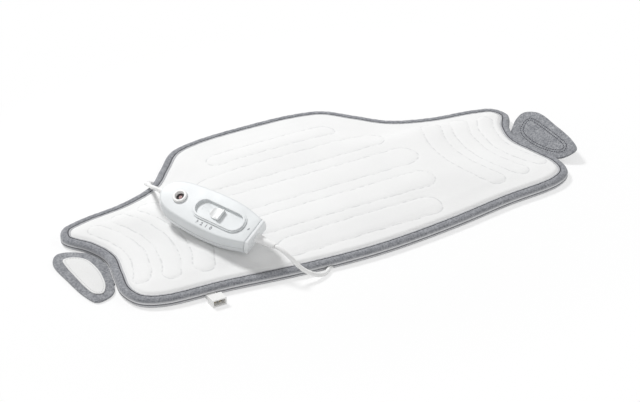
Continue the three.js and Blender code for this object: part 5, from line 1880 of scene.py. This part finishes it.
@dataclass
class FaceFittings:
    """What sits in the controller's face: the slide with its numbers, and the ring window.

    The slit is given by its two ends and its half width, and the end mark by its place, turn and
    size.
    """

    face: float = 12.0
    labels: str = "3210"
    label_x: tuple[float, ...] = (-7.8, -1.4, 5.0, 11.4)
    label_y: float = -18.4
    label_size: float = 5.6
    label_weight: float = 0.2
    ink_rise: float = 0.06
    ink_depth: float = 0.05
    window_x: float = -46.0
    window_top: float = 10.5
    window_rise: float = 0.08
    window_size: float = 5.6
    window_weight: float = 0.1
    end_mark: Triple = (50.2, 60.0, 10.0)
    end_weight: float = 0.25
    tray_top: float = 11.2
    slit: Triple = (-14.0, 8.0, 1.2)
    lip_drop: float = 0.2
    lip_thickness: float = 0.3
    lip_gap: float = 0.03

    def words(
        self, name: str, text: str, size: float, place: Triple, finish: Finish, weight: float,
        turn: float = 0.0,
    ) -> None:
        """Sets a short text flat on the face as a thin mesh.

        Args:
            name: The piece's name.
            text: What it says.
            size: Its size in millimetres.
            place: Its middle in the controller's frame.
            finish: Its finish.
            weight: How much its strokes are thickened, in millimetres.
            turn: Its turn about the face's normal, in degrees.
        """
        data = bpy.data.curves.new(name, "FONT")
        data.body = text
        data.size = size
        data.align_x, data.align_y = "CENTER", "CENTER"
        data.extrude = self.ink_depth
        data.offset = weight
        letters = linked(name, data)
        bpy.context.view_layer.update()
        seen = letters.evaluated_get(bpy.context.evaluated_depsgraph_get())
        flat = bpy.data.meshes.new_from_object(seen)
        bpy.data.objects.remove(letters)
        shape = bmesh.new()
        shape.from_mesh(flat)
        bpy.data.meshes.remove(flat)
        bmesh.ops.remove_doubles(shape, verts=shape.verts, dist=1e-4)
        turned = Matrix.Translation(place) @ Matrix.Rotation(math.radians(turn), 4, "Z")
        bmesh.ops.transform(shape, matrix=ON_CONTROLLER @ turned, verts=shape.verts)
        settle(name, shape, finish, Body.PAD)

    def lips(self) -> None:
        """Closes the slit that the thumb plate's stem runs in with two soft dust lips."""
        x0, x1, half = self.slit
        shape = bmesh.new()
        size = Matrix.Diagonal((x1 - x0, half, self.lip_thickness, 1.0))
        for side in Side:
            y = side.value * (half / 2 + self.lip_gap)
            place = Matrix.Translation(((x0 + x1) / 2, y, self.tray_top - self.lip_drop))
            bmesh.ops.create_cube(shape, size=1.0, matrix=ON_CONTROLLER @ place @ size)
        settle("slit_lips", shape, Finish.CASE, Body.PAD)

    def build(self) -> None:
        """Makes the slide, its numbers, the ring window and the bushes."""
        refined("slot_tray", Finish.CASE, Body.PAD, 0.35)
        refined("slider_knob", Finish.KNOB, Body.SLIDER, 0.6)
        # The bezel takes the white moulding, lighter than the casing: partly the ring's own white,
        # partly painted light against the shade in its inner cone.
        refined("indicator_bezel", Finish.WHITE, Body.PAD, 0.4)
        refined("indicator_lens", Finish.LENS, Body.PAD, 0.3)
        refined("mains_lead_bush", Finish.LEAD, Body.PAD, 0.3)
        refined("pad_lead_bush", Finish.LEAD, Body.PAD, 0.3)
        self.lips()
        level = self.face + self.ink_rise
        for text, x in zip(self.labels, self.label_x):
            self.words(
                f"number_{text}", text, self.label_size, (x, self.label_y, level), Finish.INK,
                self.label_weight,
            )
        # The 0 in the window is painted as a lit digit.
        window = (self.window_x, 0.0, self.window_top + self.window_rise)
        self.words(
            "window_mark", "0", self.window_size, window, Finish.PINK, self.window_weight
        )
        x, turn, size = self.end_mark
        self.words("end_mark", "-", size, (x, 0.0, level), Finish.INK, self.end_weight, turn)


@dataclass
class CouplingSocket:
    """The pad's half of the coupling in its front edge."""

    rounding: float = 0.6

    def build(self) -> None:
        """Makes the housing and its contacts."""
        refined("socket_housing", Finish.WHITE, Body.PAD, self.rounding)
        for side in Side:
            repaint(f"socket_contact_{side.name.lower()}", Finish.BRASS)


def main() -> None:
    """Builds the scene in order: stage and leads, then the pad, its tabs and the controller."""
    logging.basicConfig(level=logging.INFO, format="%(name)s %(message)s")
    Studio().build()
    Leads().build()
    shape = PadPlan()
    Pad(shape).build()
    for side in Side:
        ClosingTab(side, shape).build()
    CouplingSocket().build()
    Casing().build()
    FaceFittings().build()


if __name__ == "__main__":
    main()
